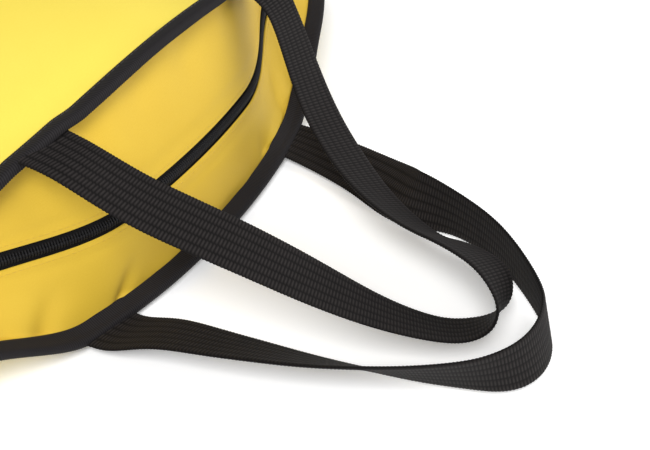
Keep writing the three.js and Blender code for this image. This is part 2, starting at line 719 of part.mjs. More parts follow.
// Sewn end of a handle: from the binding's fold out to the line that the handle swings on
function handleEnd(half, side) {
  const axis = handleAxis(half);
  const rings = [];
  for (let k = 0; k <= 4; k += 1) {
    const x = HANDLE_SPACING / 2 + WEBBING_WIDTH * (k / 4 - 0.5);
    const fold = foldPoint(half, x);
    const place = (y, z) => new THREE.Vector3(side * x, y, z);
    const thick = WEBBING_THICKNESS / 2;
    const inner = fold.y + 2 * CLEARANCE;
    const outer = axis.y - SEWN_END_GAP;
    rings.push([
      place(inner, fold.z + thick),
      place(outer, axis.z + thick * SEWN_END_TAPER),
      place(outer, axis.z - thick * SEWN_END_TAPER),
      place(inner, fold.z - thick),
    ]);
  }
  return ringSolid(rings, false);
}

// Webbing along a route from the +X root to the -X root
function handleWebbing(half, route) {
  const axis = handleAxis(half);
  const root = (side) => new THREE.Vector3((side * HANDLE_SPACING) / 2, axis.y, axis.z);
  const centres = [root(1), ...route.map(([x, out, z]) => new THREE.Vector3(x, axis.y + out, z)), root(-1)];
  const widths = [
    new THREE.Vector3(1, 0, 0),
    ...route.map((row) => new THREE.Vector3(row[3], row[4], row[5]).normalize()),
    new THREE.Vector3(HANDLE_END_WIDTH[half], 0, 0),
  ];
  const path = new THREE.CatmullRomCurve3(centres, false, 'centripetal');
  const turn = new THREE.CatmullRomCurve3(widths, false, 'centripetal');
  const rings = [];
  for (let k = 0; k <= HANDLE_STEPS; k += 1) {
    const t = k / HANDLE_STEPS;
    const centre = path.getPoint(t);
    const tangent = path.getTangent(t);
    const width = turn.getPoint(t);
    // Square across the webbing, except at the ends, which lie along the line they swing on
    if (k > 0 && k < HANDLE_STEPS) {
      width.addScaledVector(tangent, -width.dot(tangent)).normalize();
    }
    const face = new THREE.Vector3().crossVectors(width, tangent).normalize();
    rings.push(webbingRing(centre, width, face, WEBBING_THICKNESS / 2));
    // The ends are drawn thin next to the sewn ends, so that they turn clear of them
    if (k === 0 || k === HANDLE_STEPS) {
      const end = centre.clone().addScaledVector(tangent, (k === 0 ? -1 : 1) * WEBBING_THICKNESS * 0.4);
      const ring = webbingRing(end, width, face, WEBBING_THICKNESS / 4);
      if (k === 0) {
        rings.unshift(ring);
      } else {
        rings.push(ring);
      }
    }
  }
  return ringSolid(rings, false);
}

function webbingRing(centre, width, face, half) {
  const corner = (side, depth) =>
    centre.clone().addScaledVector(width, (side * WEBBING_WIDTH) / 2).addScaledVector(face, depth);
  return [corner(-1, half), corner(1, half), corner(1, -half), corner(-1, -half)];
}

// Assembly

const coolerBag = new THREE.Group();

function addPiece(parent, name, geometry, material) {
  const mesh = new THREE.Mesh(geometry, material);
  mesh.name = name;
  parent.add(mesh);
  return mesh;
}

for (const half of ['rear', 'front']) {
  addPiece(coolerBag, `${half}_panel`, fabricPanel(half), MATERIALS.fabric);
  addPiece(coolerBag, `${half}_panel_foam`, panelPadding(half, WALL_LAYERS.foam), MATERIALS.foam);
  addPiece(coolerBag, `${half}_panel_lining`, panelPadding(half, WALL_LAYERS.lining), MATERIALS.lining);
  addPiece(coolerBag, `${half}_gusset`, fabricGusset(half), MATERIALS.fabric);
  addPiece(coolerBag, `${half}_gusset_foam`, gussetPadding(half, WALL_LAYERS.foam), MATERIALS.foam);
  addPiece(coolerBag, `${half}_gusset_lining`, gussetPadding(half, WALL_LAYERS.lining), MATERIALS.lining);
  addPiece(coolerBag, `${half}_binding`, binding(half), MATERIALS.binding);
  addPiece(coolerBag, `${half}_zip_tape`, zipTape(half), MATERIALS.zip);
  addPiece(coolerBag, `${half}_zip_coil`, zipCoil(half), MATERIALS.zip);
}
addPiece(coolerBag, 'base_hinge_strip', baseHingeStrip(), MATERIALS.fabric);
addPiece(coolerBag, 'front_handle', handleWebbing('front', FRONT_HANDLE_ROUTE), MATERIALS.webbing);
addPiece(coolerBag, 'rear_handle', handleWebbing('rear', REAR_HANDLE_ROUTE), MATERIALS.webbing);
for (const half of ['rear', 'front']) {
  addPiece(coolerBag, `${half}_handle_end_left`, handleEnd(half, -1), MATERIALS.webbing);
  addPiece(coolerBag, `${half}_handle_end_right`, handleEnd(half, 1), MATERIALS.webbing);
}

const slider = new THREE.Group();
slider.applyMatrix4(sliderFrame());
addPiece(slider, 'zip_slider', zipSlider(), MATERIALS.metal);
addPiece(slider, 'zip_pull', zipPull(), MATERIALS.metal);
coolerBag.add(slider);

export default coolerBag;
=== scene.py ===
import math

import bpy
import numpy as np
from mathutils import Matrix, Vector, noise


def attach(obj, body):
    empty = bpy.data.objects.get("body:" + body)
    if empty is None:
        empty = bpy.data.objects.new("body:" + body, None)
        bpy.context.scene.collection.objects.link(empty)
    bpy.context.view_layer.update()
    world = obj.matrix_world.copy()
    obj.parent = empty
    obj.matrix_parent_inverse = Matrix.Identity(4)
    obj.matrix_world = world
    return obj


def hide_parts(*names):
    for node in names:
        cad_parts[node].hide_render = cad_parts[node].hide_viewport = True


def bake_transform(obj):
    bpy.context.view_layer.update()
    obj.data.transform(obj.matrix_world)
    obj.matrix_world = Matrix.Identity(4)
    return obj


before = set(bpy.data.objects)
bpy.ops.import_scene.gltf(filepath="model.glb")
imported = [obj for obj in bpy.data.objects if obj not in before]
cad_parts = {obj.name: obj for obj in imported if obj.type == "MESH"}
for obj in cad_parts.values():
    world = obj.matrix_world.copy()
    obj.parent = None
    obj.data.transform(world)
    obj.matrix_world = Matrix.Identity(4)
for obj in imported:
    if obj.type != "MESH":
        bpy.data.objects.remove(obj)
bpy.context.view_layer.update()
bpy.ops.object.select_all(action="DESELECT")

# Camera at the photograph's angle
CAMERA_PLACE = Vector((0.41873, 0.45346, 0.43487))
CAMERA_AIM = Vector((-0.67039, -0.37067, -0.64279))
SENSOR_WIDTH = 36.0
LENS = 72.0
camera_data = bpy.data.cameras.new("camera")
camera_data.sensor_fit = "HORIZONTAL"
camera_data.sensor_width = SENSOR_WIDTH
camera_data.lens = LENS
camera = bpy.data.objects.new("camera", camera_data)
camera.location = CAMERA_PLACE
camera.rotation_mode = "QUATERNION"
camera.rotation_quaternion = CAMERA_AIM.to_track_quat("-Z", "Y")
bpy.context.scene.collection.objects.link(camera)
bpy.context.scene.camera = camera
bpy.context.scene.view_settings.view_transform = "Standard"

# Sizes of the bag in millimetres, as in its solids
MM = 0.001
BAG_WIDTH = 450.0
BAG_HEIGHT = 310.0
TOP_ARC_RADIUS = 394.0
TOP_CORNER_RADIUS = 75.0
BASE_CORNER_RADIUS = 45.0
FRONT_INSET_TOP = 25.0
FRONT_INSET_SIDE = 2.0
FRONT_INSET_BASE = 4.0
REAR_SEAM_HEIGHT = 5.5
REAR_CORNER_LIFT = 26.0
REAR_LIFT = (90.0, 153.0)
FRONT_SEAM_HEIGHT = 109.5
FRONT_CORNER_DROP = 30.0
FRONT_DROP_END = 190.0
FRONT_CROWN_HEIGHT = 121.0
FRONT_CROWN_POWER = 2.2
REAR_FLAT_SHARE = 0.62
ZIP_HEIGHT = 48.5
SIDE_PINCH_SHARE = 0.5
BULGE_TOP = 6.0
BULGE_TOP_CORNER = -10.0
BULGE_SIDE = 4.0
BULGE_BASE = 15.0
REAR_FLANGE_RISE = math.radians(-3)
FRONT_FLANGE_RISE = math.radians(16)
FABRIC = 1.2
FLANGE_FACE = 1.35
FLANGE_INNER = 0.15
FLANGE_LENGTH = 8.0
TAPE_INNER = 1.65
TAPE_OUTER = 2.55
BINDING_REACH = 9.2
WEBBING_WIDTH = 30.0
WEBBING_THICKNESS = 1.8
FRONT_HANDLE_AXIS = (137.98, 99.78)
REAR_HANDLE_AXIS = (162.86, 5.02)
HANDLE_SPACING = 170.0

# Sizes that are a little larger here than in the solids
ZIP_CORNER_LIFT = 6.2
ZIP_OPENING = 9.4
SEWN_LIFT = 1.9

# Where forms of the edge come in: in shares of half the height, in distance from the middle,
# in distance from a handle's root, and in height on the outline
TOP_SHARE = (0.15, 0.55)
BULGE_TURN = (52, 139)
ZIP_LIFT = (50, 150)
SEWN_FADE = (12, 27)
TOP_WALL = (30, 80)

# The body that carries each half, the way from its panel to the zip and back,
# and its seam's place on the wall
HALVES = {"rear": "base", "front": "lid"}
INWARD = {"rear": 1, "front": -1}
OUTWARD = {"rear": -1, "front": 1}
SEAM_EDGE = {"rear": 0.0, "front": 1.0}

# Where each handle lies: centre x, distance out from its sewn ends, height z,
# and the direction across it
FRONT_HANDLE_ROUTE = [
    (82.9, 10.2, 98, 0.99, 0.14, 0.02),
    (78.9, 32.9, 86.4, 0.98, 0.21, -0.06),
    (72, 55.1, 76, 0.95, 0.28, -0.11),
    (63.5, 76.3, 64.8, 0.93, 0.34, -0.1),
    (54.1, 96.2, 51.9, 0.92, 0.39, -0.08),
    (44.3, 115.5, 38.6, 0.88, 0.47, 0.02),
    (34, 135, 26.1, 0.81, 0.55, 0.2),
    (22.3, 155.5, 16.6, 0.73, 0.58, 0.36),
    (15.3, 165.9, 14.9, 0.72, 0.56, 0.4),
    (7.7, 174.4, 17.6, 0.72, 0.43, 0.54),
    (0.6, 177.1, 24.2, 0.74, 0.07, 0.67),
    (-6, 172.2, 31.3, 0.79, -0.22, 0.58),
    (-11.7, 162, 35.2, 0.83, -0.3, 0.47),
    (-19, 137.6, 32.4, 0.78, -0.29, 0.56),
    (-21.3, 129.4, 29.8, 0.72, -0.29, 0.63),
    (-25.9, 113.5, 30.2, 0.77, -0.29, 0.57),
    (-36.2, 90.5, 32.1, 0.81, -0.29, 0.51),
    (-47.9, 69, 39.1, 0.85, -0.28, 0.45),
    (-59.3, 49.2, 50, 0.87, -0.21, 0.44),
    (-70.3, 32.6, 65.6, 0.9, -0.11, 0.42),
    (-79.7, 17.9, 84, 0.92, 0.01, 0.39),
    (-83, 9.6, 92.7, 0.95, 0.02, 0.3),
]
REAR_HANDLE_ROUTE = [
    (82.2, 20.1, 13.8, 0.97, 0.09, 0.22),
    (78.5, 43.3, 15.3, 0.92, 0.16, 0.35),
    (73.4, 66.2, 15.8, 0.85, 0.2, 0.49),
    (67.3, 89, 15.4, 0.78, 0.24, 0.57),
    (59.8, 111.2, 15.4, 0.67, 0.24, 0.71),
    (51.5, 133.1, 15.4, 0.51, 0.2, 0.84),
    (41.4, 154.2, 16.2, 0.32, 0.12, 0.94),
    (35.2, 163.8, 16.9, 0.16, 0, 0.99),
    (27.2, 171.6, 17.7, 0.03, -0.15, 0.99),
    (16.7, 175.8, 18.4, 0, -0.26, 0.97),
    (5, 175.8, 18.6, 0.04, -0.27, 0.96),
    (-6.1, 172.2, 18.4, 0.07, -0.23, 0.97),
    (-15.8, 165.5, 17.9, 0.09, -0.16, 0.98),
    (-32.4, 148.6, 17.9, 0.11, -0.09, 0.99),
    (-46.2, 129.3, 18.6, 0.16, -0.09, 0.98),
    (-54.7, 107.3, 18.2, 0.13, -0.1, 0.99),
    (-57.3, 95.9, 17.4, 0.01, -0.1, 0.99),
    (-58.8, 85.7, 16.3, -0.2, -0.08, 0.97),
    (-60.2, 77, 14.5, -0.48, 0.03, 0.87),
    (-64, 67.9, 12.1, -0.73, 0.15, 0.66),
    (-69.3, 57.6, 9.9, -0.87, 0.25, 0.42),
    (-74.6, 46, 8, -0.94, 0.26, 0.22),
    (-81.2, 22.7, 6.1, -0.97, 0.19, 0.14),
]

# Direction across each handle at its second sewn end
HANDLE_END_WIDTH = {"front": 1, "rear": -1}
# The first sewn end: how far it lies inward of its root, and its width's direction
ROOT_INSET = {"front": 2.2, "rear": 0.0}
ROOT_WIDTH = {"front": (1, 0.09, 0.06), "rear": (1, 0, 0.2)}
# Samples of a handle's path, and how many of them its line and its twist are evened out over
PATH_STEPS = 900
PATH_SPREAD = 14
TWIST_SPREAD = {"front": 24, "rear": 44}


# Finishes

class Wire:
    """A socket of a finish; sums, differences and products of wires add Math nodes."""

    def __init__(self, finish, socket):
        self.finish = finish
        self.socket = socket

    def math(self, operation, *terms):
        return self.finish.node("Math", {"operation": operation}, *terms)

    def __add__(self, other):
        return self.math("ADD", self, other)

    def __radd__(self, other):
        return self.math("ADD", other, self)

    def __sub__(self, other):
        return self.math("SUBTRACT", self, other)

    def __rsub__(self, other):
        return self.math("SUBTRACT", other, self)

    def __mul__(self, other):
        return self.math("MULTIPLY", self, other)

    def __rmul__(self, other):
        return self.math("MULTIPLY", other, self)

    def sine(self):
        return self.math("SINE", self)


# Sockets of a Mix node that mixes colours
MIX_FIRST, MIX_SECOND, MIX_RESULT = 6, 7, 2


class Finish:
    """A procedural material around one Principled shader."""

    def __init__(self, name, **constants):
        self.material = bpy.data.materials.new(name)
        self.material.use_nodes = True
        self.tree = self.material.node_tree
        self.shader = self.tree.nodes["Principled BSDF"]
        for socket, value in constants.items():
            self.shader.inputs[socket.replace("_", " ")].default_value = value

    def feed(self, socket, value):
        if isinstance(value, Wire):
            self.tree.links.new(value.socket, socket)
        else:
            socket.default_value = value

    def node(self, kind, settings, *values, out=0, **named):
        made = self.tree.nodes.new("ShaderNode" + kind)
        for name, value in settings.items():
            setattr(made, name, value)
        for socket, value in zip(made.inputs, values):
            self.feed(socket, value)
        for name, value in named.items():
            self.feed(made.inputs[name.replace("_", " ")], value)
        return Wire(self, made.outputs[out])

    def place(self):
        return self.node("TexCoord", {}, out="Object")

    def lie(self):
        """Distance along and across the cloth, in millimetres, as one vector."""
        return self.node("Attribute", {"attribute_name": "lie"}, out="Vector")

    def split(self, vector):
        outputs = self.node("SeparateXYZ", {}, vector).socket.node.outputs
        return Wire(self, outputs[0]), Wire(self, outputs[1])

    def speckle(self, vector, scale, detail=3.0, roughness=0.55):
        return self.node("TexNoise", {}, Vector=vector, Scale=scale, Detail=detail,
                         Roughness=roughness)

    def stretch(self, vector, scale):
        return self.node("Mapping", {}, Vector=vector, Scale=scale)

    def ramp(self, value, low, high):
        return self.node("MapRange", {}, value, low, high, 0.0, 1.0)

    def blend(self, share, first, second):
        made = self.node("Mix", {"data_type": "RGBA"}, share, out=MIX_RESULT)
        self.feed(made.socket.node.inputs[MIX_FIRST], first)
        self.feed(made.socket.node.inputs[MIX_SECOND], second)
        return made

    def colour(self, wire):
        self.feed(self.shader.inputs["Base Color"], wire)

    def roughness(self, wire):
        self.feed(self.shader.inputs["Roughness"], wire)

    def relief(self, height, depth_mm, strength=1.0):
        bump = self.node("Bump", {}, Height=height, Strength=strength, Distance=depth_mm * MM)
        self.feed(self.shader.inputs["Normal"], bump)


# Weave of the shell's cloth, in radians to a millimetre
WEAVE_COUNT = 7.0


def shell_fabric(name, tones):
    """Yellow coated cloth: a fine plain weave under a thin coat, a little uneven in colour."""
    finish = Finish(name, Sheen_Weight=0.04, Sheen_Roughness=0.45, Specular_IOR_Level=0.28)
    main, pale, worn = ((*tone, 1) for tone in tones)
    lie = finish.lie()
    along, across = finish.split(lie)
    cloud = finish.speckle(finish.place(), scale=14.0)
    fleck = finish.speckle(lie, scale=1.1, detail=2.0)
    weave = (along * WEAVE_COUNT).sine() * (across * WEAVE_COUNT).sine()
    tone = finish.blend(finish.ramp(cloud, low=0.3, high=0.7), main, pale)
    finish.colour(finish.blend(finish.ramp(fleck, low=0.35, high=0.75) * 0.35, tone, worn))
    finish.roughness(0.46 + fleck * 0.16)
    finish.relief(weave * 0.35 + fleck * 0.8 + cloud * 0.5, depth_mm=0.12, strength=0.5)
    return finish.material


def woven_black(name, dark, light, roughness, strand):
    """Black polypropylene yarn: fine strands, with a painted highlight that makes it paler where
    the yarn stands proud.
    """
    finish = Finish(name, Sheen_Weight=0.02, Sheen_Roughness=0.5, Specular_IOR_Level=0.12)
    proud = finish.node("Attribute", {"attribute_name": "proud"}, out="Fac")
    fibres = finish.speckle(finish.stretch(finish.lie(), strand), scale=1.0, detail=2.0)
    dust = finish.speckle(finish.place(), scale=60.0, detail=2.0)
    # The proud share is a painted highlight on the raised yarn; the fibres and dust vary the tone
    # at random.
    share = proud * 0.75 + fibres * 0.35 - 0.15 + dust * 0.1
    finish.colour(finish.blend(share, (*dark, 1), (*light, 1)))
    finish.roughness(roughness + fibres * 0.2)
    finish.relief(fibres, depth_mm=0.14, strength=0.6)
    return finish.material


def coil_plastic():
    finish = Finish("zip_coil_plastic", Specular_IOR_Level=0.25)
    rub = finish.speckle(finish.place(), scale=420.0, detail=2.0)
    finish.colour(finish.blend(rub, (0.003, 0.003, 0.0035, 1), (0.016, 0.015, 0.017, 1)))
    finish.roughness(0.42 + rub * 0.25)
    finish.relief(rub, depth_mm=0.03, strength=0.5)
    return finish.material


def sewing_thread(name, dark, light, sheen):
    finish = Finish(name, Sheen_Weight=sheen)
    twist = finish.speckle(finish.place(), scale=900.0, detail=1.0)
    finish.colour(finish.blend(twist, (*dark, 1), (*light, 1)))
    finish.roughness(0.5 + twist * 0.2)
    finish.relief(twist, depth_mm=0.05, strength=0.6)
    return finish.material


def liner_film():
    """Silver film over foam: crinkled, with broad soft reflections."""
    finish = Finish("liner_film", Metallic=0.55, Specular_IOR_Level=0.5)
    place = finish.place()
    crease = finish.speckle(place, scale=38.0, detail=5.0, roughness=0.6)
    cells = finish.node("TexVoronoi", {"feature": "DISTANCE_TO_EDGE"}, Vector=place, Scale=55.0)
    ridge = finish.ramp(cells, low=0.0, high=0.12)
    finish.colour(finish.blend(crease, (0.5, 0.52, 0.54, 1), (0.72, 0.73, 0.74, 1)))
    finish.roughness(0.28 + crease * 0.25)
    finish.relief(ridge * 0.6 + crease, depth_mm=0.5, strength=0.6)
    return finish.material


def black_casting():
    """Black paint on a die casting, worn a little in spots."""
    finish = Finish("black_casting", Metallic=0.6, Specular_IOR_Level=0.5)
    place = finish.place()
    wear = finish.ramp(finish.speckle(place, scale=700.0, detail=3.0), low=0.62, high=0.75)
    grain = finish.speckle(place, scale=2600.0, detail=1.0)
    finish.colour(finish.blend(wear * 0.5, (0.012, 0.012, 0.013, 1), (0.09, 0.09, 0.092, 1)))
    finish.roughness(0.34 + grain * 0.2)
    finish.relief(grain, depth_mm=0.02, strength=0.4)
    return finish.material


# Two copies of one yellow cloth. The wall's copy is the cloth's own yellow, made darker and more
# orange in part as painted shade on the sides. The panel's copy is paler and lighter as painted
# light and painted sheen on the top that faces the light.
WALL_CLOTH_WITH_PAINTED_SHADE = shell_fabric(
    "wall_cloth_with_painted_shade", ((0.69, 0.45, 0.037), (0.725, 0.49, 0.047), (0.66, 0.415, 0.03)))
PANEL_CLOTH_WITH_PAINTED_LIGHT = shell_fabric(
    "panel_cloth_with_painted_light", ((0.85, 0.67, 0.088), (0.875, 0.7, 0.1), (0.825, 0.63, 0.078)))
BINDING = woven_black("binding_tape", dark=(0.004, 0.0035, 0.0038), light=(0.032, 0.029, 0.031),
                      roughness=0.65, strand=(3.0, 0.6, 1.0))
WEBBING = woven_black("webbing", dark=(0.0016, 0.0012, 0.0012), light=(0.036, 0.031, 0.03),
                      roughness=0.68, strand=(4.0, 0.9, 1.0))
ZIP_TAPE = woven_black("zip_tape", dark=(0.004, 0.004, 0.004), light=(0.02, 0.019, 0.02),
                       roughness=0.7, strand=(2.0, 2.0, 1.0))
COIL = coil_plastic()
YELLOW_THREAD = sewing_thread("yellow_thread", (0.58, 0.37, 0.026), (0.7, 0.47, 0.045), sheen=0.2)
BLACK_THREAD = sewing_thread("black_thread", (0.01, 0.01, 0.011), (0.045, 0.043, 0.045), sheen=0.1)
FILM = liner_film()
CASTING = black_casting()


# Rows of points

def smooth(low, high, value):
    share = np.clip((value - low) / (high - low), 0.0, 1.0)
    return share * share * (3 - 2 * share)


def mix(first, second, share):
    return first + (second - first) * share


def unit(rows):
    return rows / np.linalg.norm(rows, axis=1, keepdims=True)


def square_to(ways, rows):
    """Rows turned square to their ways, at length one."""
    return unit(rows - ways * np.sum(rows * ways, axis=1, keepdims=True))


def run_along(line):
    """Distance along a line at each of its points."""
    step = np.linalg.norm(np.diff(line, axis=0), axis=1)
    return np.concatenate([[0.0], np.cumsum(step)])


def sample(wanted, run, rows):
    """Rows read off at wanted places along their run."""
    return np.stack([np.interp(wanted, run, rows[:, k]) for k in range(3)], 1)


def evenly(rows, count):
    """A number of rows read off evenly along those given."""
    return sample(np.linspace(0, 1, count), np.linspace(0, 1, len(rows)), rows)


def lie_of(run, offsets):
    """Where each row of a band lies on its cloth: along its run, and across it."""
    return np.stack([np.stack([run, np.full_like(run, offset)], 1) for offset in offsets], 1)


def ripple(points, scale, seed):
    """Smooth noise between -1 and 1 at points in millimetres."""
    places = [Vector((x / scale, y / scale, z / scale + seed)) for x, y, z in points]
    return np.array([noise.noise(place) for place in places])


# The bag's edge, station by station

BASE_Y = -BAG_HEIGHT / 2
FRONT_SHRINK = (BAG_HEIGHT - FRONT_INSET_TOP - FRONT_INSET_BASE) / BAG_HEIGHT
PANEL_MIDDLE = {
    "rear": np.zeros(2),
    "front": np.array([0.0, BASE_Y + FRONT_INSET_BASE - BASE_Y * FRONT_SHRINK]),
}
PANEL_CROWN = {"rear": 0.0, "front": FRONT_CROWN_HEIGHT}


class Edge:
    """Stations round the outline, anticlockwise from the foot of the +X side, zip first."""

    def __init__(self, pitch):
        half = BAG_WIDTH / 2
        arc_centre = BAG_HEIGHT / 2 - TOP_ARC_RADIUS
        corner_x = half - TOP_CORNER_RADIUS
        spread = math.asin(corner_x / (TOP_ARC_RADIUS - TOP_CORNER_RADIUS))
        corner_y = arc_centre + (TOP_ARC_RADIUS - TOP_CORNER_RADIUS) * math.cos(spread)
        foot_x, foot_y = half - BASE_CORNER_RADIUS, BASE_Y + BASE_CORNER_RADIUS
        quarter = math.pi / 2
        self.places, self.normals = [], []
        self.line((half, foot_y), (half, corner_y), (1, 0), pitch)
        self.arc((corner_x, corner_y), TOP_CORNER_RADIUS, 0, quarter - spread, pitch)
        self.arc((0, arc_centre), TOP_ARC_RADIUS, quarter - spread, quarter + spread, pitch)
        self.arc((-corner_x, corner_y), TOP_CORNER_RADIUS, quarter + spread, math.pi, pitch)
        self.line((-half, corner_y), (-half, foot_y), (-1, 0), pitch)
        self.zip_end = len(self.places)
        self.arc((-foot_x, foot_y), BASE_CORNER_RADIUS, math.pi, 1.5 * math.pi, pitch)
        self.line((-foot_x, BASE_Y), (foot_x, BASE_Y), (0, -1), pitch)
        self.arc((foot_x, foot_y), BASE_CORNER_RADIUS, 1.5 * math.pi, 2 * math.pi, pitch)
        places = np.array(self.places)
        self.x, self.y = places[:, 0], places[:, 1]
        self.settle(np.array(self.normals))

    def line(self, start, end, normal, pitch):
        start, end = np.array(start, float), np.array(end, float)
        steps = max(2, round(float(np.linalg.norm(end - start)) / pitch))
        for k in range(steps):
            self.places.append(start + (end - start) * k / steps)
            self.normals.append(normal)

    def arc(self, centre, radius, start, end, pitch):
        steps = max(4, round(radius * abs(end - start) / pitch))
        for k in range(steps):
            angle = start + (end - start) * k / steps
            normal = (math.cos(angle), math.sin(angle))
            self.places.append((centre[0] + radius * normal[0], centre[1] + radius * normal[1]))
            self.normals.append(normal)

    def settle(self, normals):
        """Seams, flanges and the gusset's curve at every station."""
        x, y, side = self.x, self.y, np.abs(self.x)
        self.out = np.column_stack([normals, np.zeros(len(x))])
        up = np.tile([0.0, 0.0, 1.0], (len(x), 1))
        at_top = smooth(*TOP_SHARE, y / (BAG_HEIGHT / 2))
        pinch = mix(SIDE_PINCH_SHARE, 1.0, at_top)
        rear_z = REAR_SEAM_HEIGHT + REAR_CORNER_LIFT * smooth(*REAR_LIFT, side) * pinch
        drop = np.minimum(side / FRONT_DROP_END, 1)
        front_z = FRONT_SEAM_HEIGHT - FRONT_CORNER_DROP * np.sin(math.pi / 2 * drop) ** 2 * pinch
        from_root = np.abs(side - HANDLE_SPACING / 2)
        front_z += SEWN_LIFT * (1 - smooth(*SEWN_FADE, from_root)) * at_top
        front_x = x * (BAG_WIDTH - 2 * FRONT_INSET_SIDE) / BAG_WIDTH
        front_y = BASE_Y + FRONT_INSET_BASE + (y - BASE_Y) * FRONT_SHRINK
        self.seam = {
            "rear": np.stack([x, y, rear_z], 1),
            "front": np.stack([front_x, front_y, front_z], 1),
        }
        self.along, self.across = {}, {}
        for half, rise in (("rear", REAR_FLANGE_RISE), ("front", FRONT_FLANGE_RISE)):
            self.along[half] = self.out * math.cos(rise) + up * math.sin(rise)
            self.across[half] = up * math.cos(rise) - self.out * math.sin(rise)
        self.foot = self.flange("rear", 0, FLANGE_FACE)
        self.head = self.flange("front", 0, -FLANGE_FACE)
        top = mix(BULGE_TOP, BULGE_TOP_CORNER, smooth(*BULGE_TURN, side))
        at_base = smooth(0, BASE_CORNER_RADIUS, BASE_CORNER_RADIUS + BASE_Y - y)
        bulge = mix(mix(BULGE_SIDE, BULGE_BASE, at_base), top, at_top)
        self.middle = (self.foot + self.head) / 2 + self.out * bulge[:, None]
        self.middle[:, 2] = ZIP_HEIGHT + ZIP_CORNER_LIFT * smooth(*ZIP_LIFT, side) * at_top
        self.span = np.linalg.norm(self.head - self.foot, axis=1)
        self.run = run_along(np.stack([x, y], 1))

    def flange(self, half, a, b):
        """A line at a reach along a seam's flange and a height across it."""
        return self.seam[half] + self.along[half] * a + self.across[half] * b

    def wall(self, t, depth):
        """The gusset's face, a depth inside it: t = 0 at the rear seam, 1 at the front seam."""
        t = np.broadcast_to(t, self.x.shape)[:, None]
        depth = np.broadcast_to(depth, self.x.shape)[:, None]
        low, high = self.foot * (1 - t) * (1 - 2 * t), self.head * t * (2 * t - 1)
        return low + self.middle * 4 * t * (1 - t) + high - self.face(t) * depth

    def face(self, t):
        """The way out of the gusset's face."""
        slope = self.foot * (4 * t - 3) + self.middle * (4 - 8 * t) + self.head * (4 * t - 1)
        lean = np.sum(slope * self.out, axis=1, keepdims=True)
        face = self.out * slope[:, 2:3]
        face[:, 2] -= lean[:, 0]
        return unit(face)

    def near_zip(self, offset, depth):
        return self.wall(0.5 + offset / self.span, depth)

    def panel(self, half, share, depth, sag=0.0):
        """A ring a depth inside a panel's outer face, at a share of the way out to its seam."""
        middle = PANEL_MIDDLE[half]
        rim = self.flange(half, 0, OUTWARD[half] * FLANGE_FACE)[:, 2]
        if half == "rear":
            height = rim * smooth(REAR_FLAT_SHARE, 1.0, share) + depth
        else:
            dome = (rim - FRONT_CROWN_HEIGHT) * share ** FRONT_CROWN_POWER
            height = FRONT_CROWN_HEIGHT + dome - depth
        plan = middle + (self.seam[half][:, :2] - middle) * share
        return np.column_stack([plan, height + sag])


def panel_middle(half, depth):
    """The middle of a panel, a depth inside its outer face."""
    return np.array([*PANEL_MIDDLE[half], PANEL_CROWN[half] + INWARD[half] * depth])


# Meshes from rows of points

SHARP_ANGLE = math.radians(50)


def piece(name, points, faces, material, lie=None, proud=None):
    """A mesh object at the origin from points in millimetres, smooth shaded, its faces outward."""
    mesh = bpy.data.meshes.new(name)
    mesh.from_pydata((np.asarray(points) * MM).tolist(), [], faces)
    if lie is not None:
        attribute = mesh.attributes.new("lie", "FLOAT_VECTOR", "POINT")
        flat = np.zeros((len(lie), 3), np.float32)
        flat[:, :2] = lie
        attribute.data.foreach_set("vector", flat.ravel())
    if proud is not None:
        attribute = mesh.attributes.new("proud", "FLOAT", "POINT")
        attribute.data.foreach_set("value", np.asarray(proud, np.float32))
    mesh.materials.append(material)
    made = bpy.data.objects.new(name, mesh)
    bpy.context.scene.collection.objects.link(made)
    bpy.ops.object.select_all(action="DESELECT")
    made.select_set(True)
    bpy.context.view_layer.objects.active = made
    bpy.ops.object.mode_set(mode="EDIT")
    bpy.ops.mesh.select_all(action="SELECT")
    bpy.ops.mesh.normals_make_consistent(inside=False)
    bpy.ops.object.mode_set(mode="OBJECT")
    bpy.ops.object.shade_smooth_by_angle(angle=SHARP_ANGLE)
    made.select_set(False)
    return made


def band_faces(stations, sides, closed):
    """Quads of a band whose section is a closed loop of points; an open band gets end caps."""
    faces = []
    for r in range(stations if closed else stations - 1):
        here, ahead = r * sides, (r + 1) % stations * sides
        for s in range(sides):
            side = (s + 1) % sides
            faces.append((here + s, here + side, ahead + side, ahead + s))
    if not closed:
        faces.append(tuple(range(sides)))
        faces.append(tuple(range((stations - 1) * sides, stations * sides)))
    return faces


def band(name, rows, closed, material, lie, proud=None):
    """A band from rows of points, each row one line along it; the rows close on themselves."""
    grid = np.stack(rows, 1)
    stations, sides = grid.shape[:2]
    return piece(name, grid.reshape(-1, 3), band_faces(stations, sides, closed), material,
                 lie.reshape(-1, 2), None if proud is None else proud.ravel())


def disc(name, upper, lower, upper_middle, lower_middle, material):
    """A closed sheet from rings that run out from a middle, over the rim and back in below."""
    rings = upper + lower[::-1]
    count = len(rings[0])
    points = np.vstack([upper_middle[None, :], *rings, lower_middle[None, :]])
    faces = []
    last = len(points) - 1
    rim = 1 + (len(rings) - 1) * count
    for s in range(count):
        side = (s + 1) % count
        faces.append((0, 1 + s, 1 + side))
        for r in range(len(rings) - 1):
            here = 1 + r * count
            faces.append((here + s, here + count + s, here + count + side, here + side))
        faces.append((rim + s, last, rim + side))
    return piece(name, points, faces, material, points[:, :2])


# Shell: two panels and two halves of the gusset, with the pulls and puckers of sewn cloth

CLOTH_PITCH = 2.4
EDGE = Edge(CLOTH_PITCH)
RIM_TO_MIDDLE = 150.0

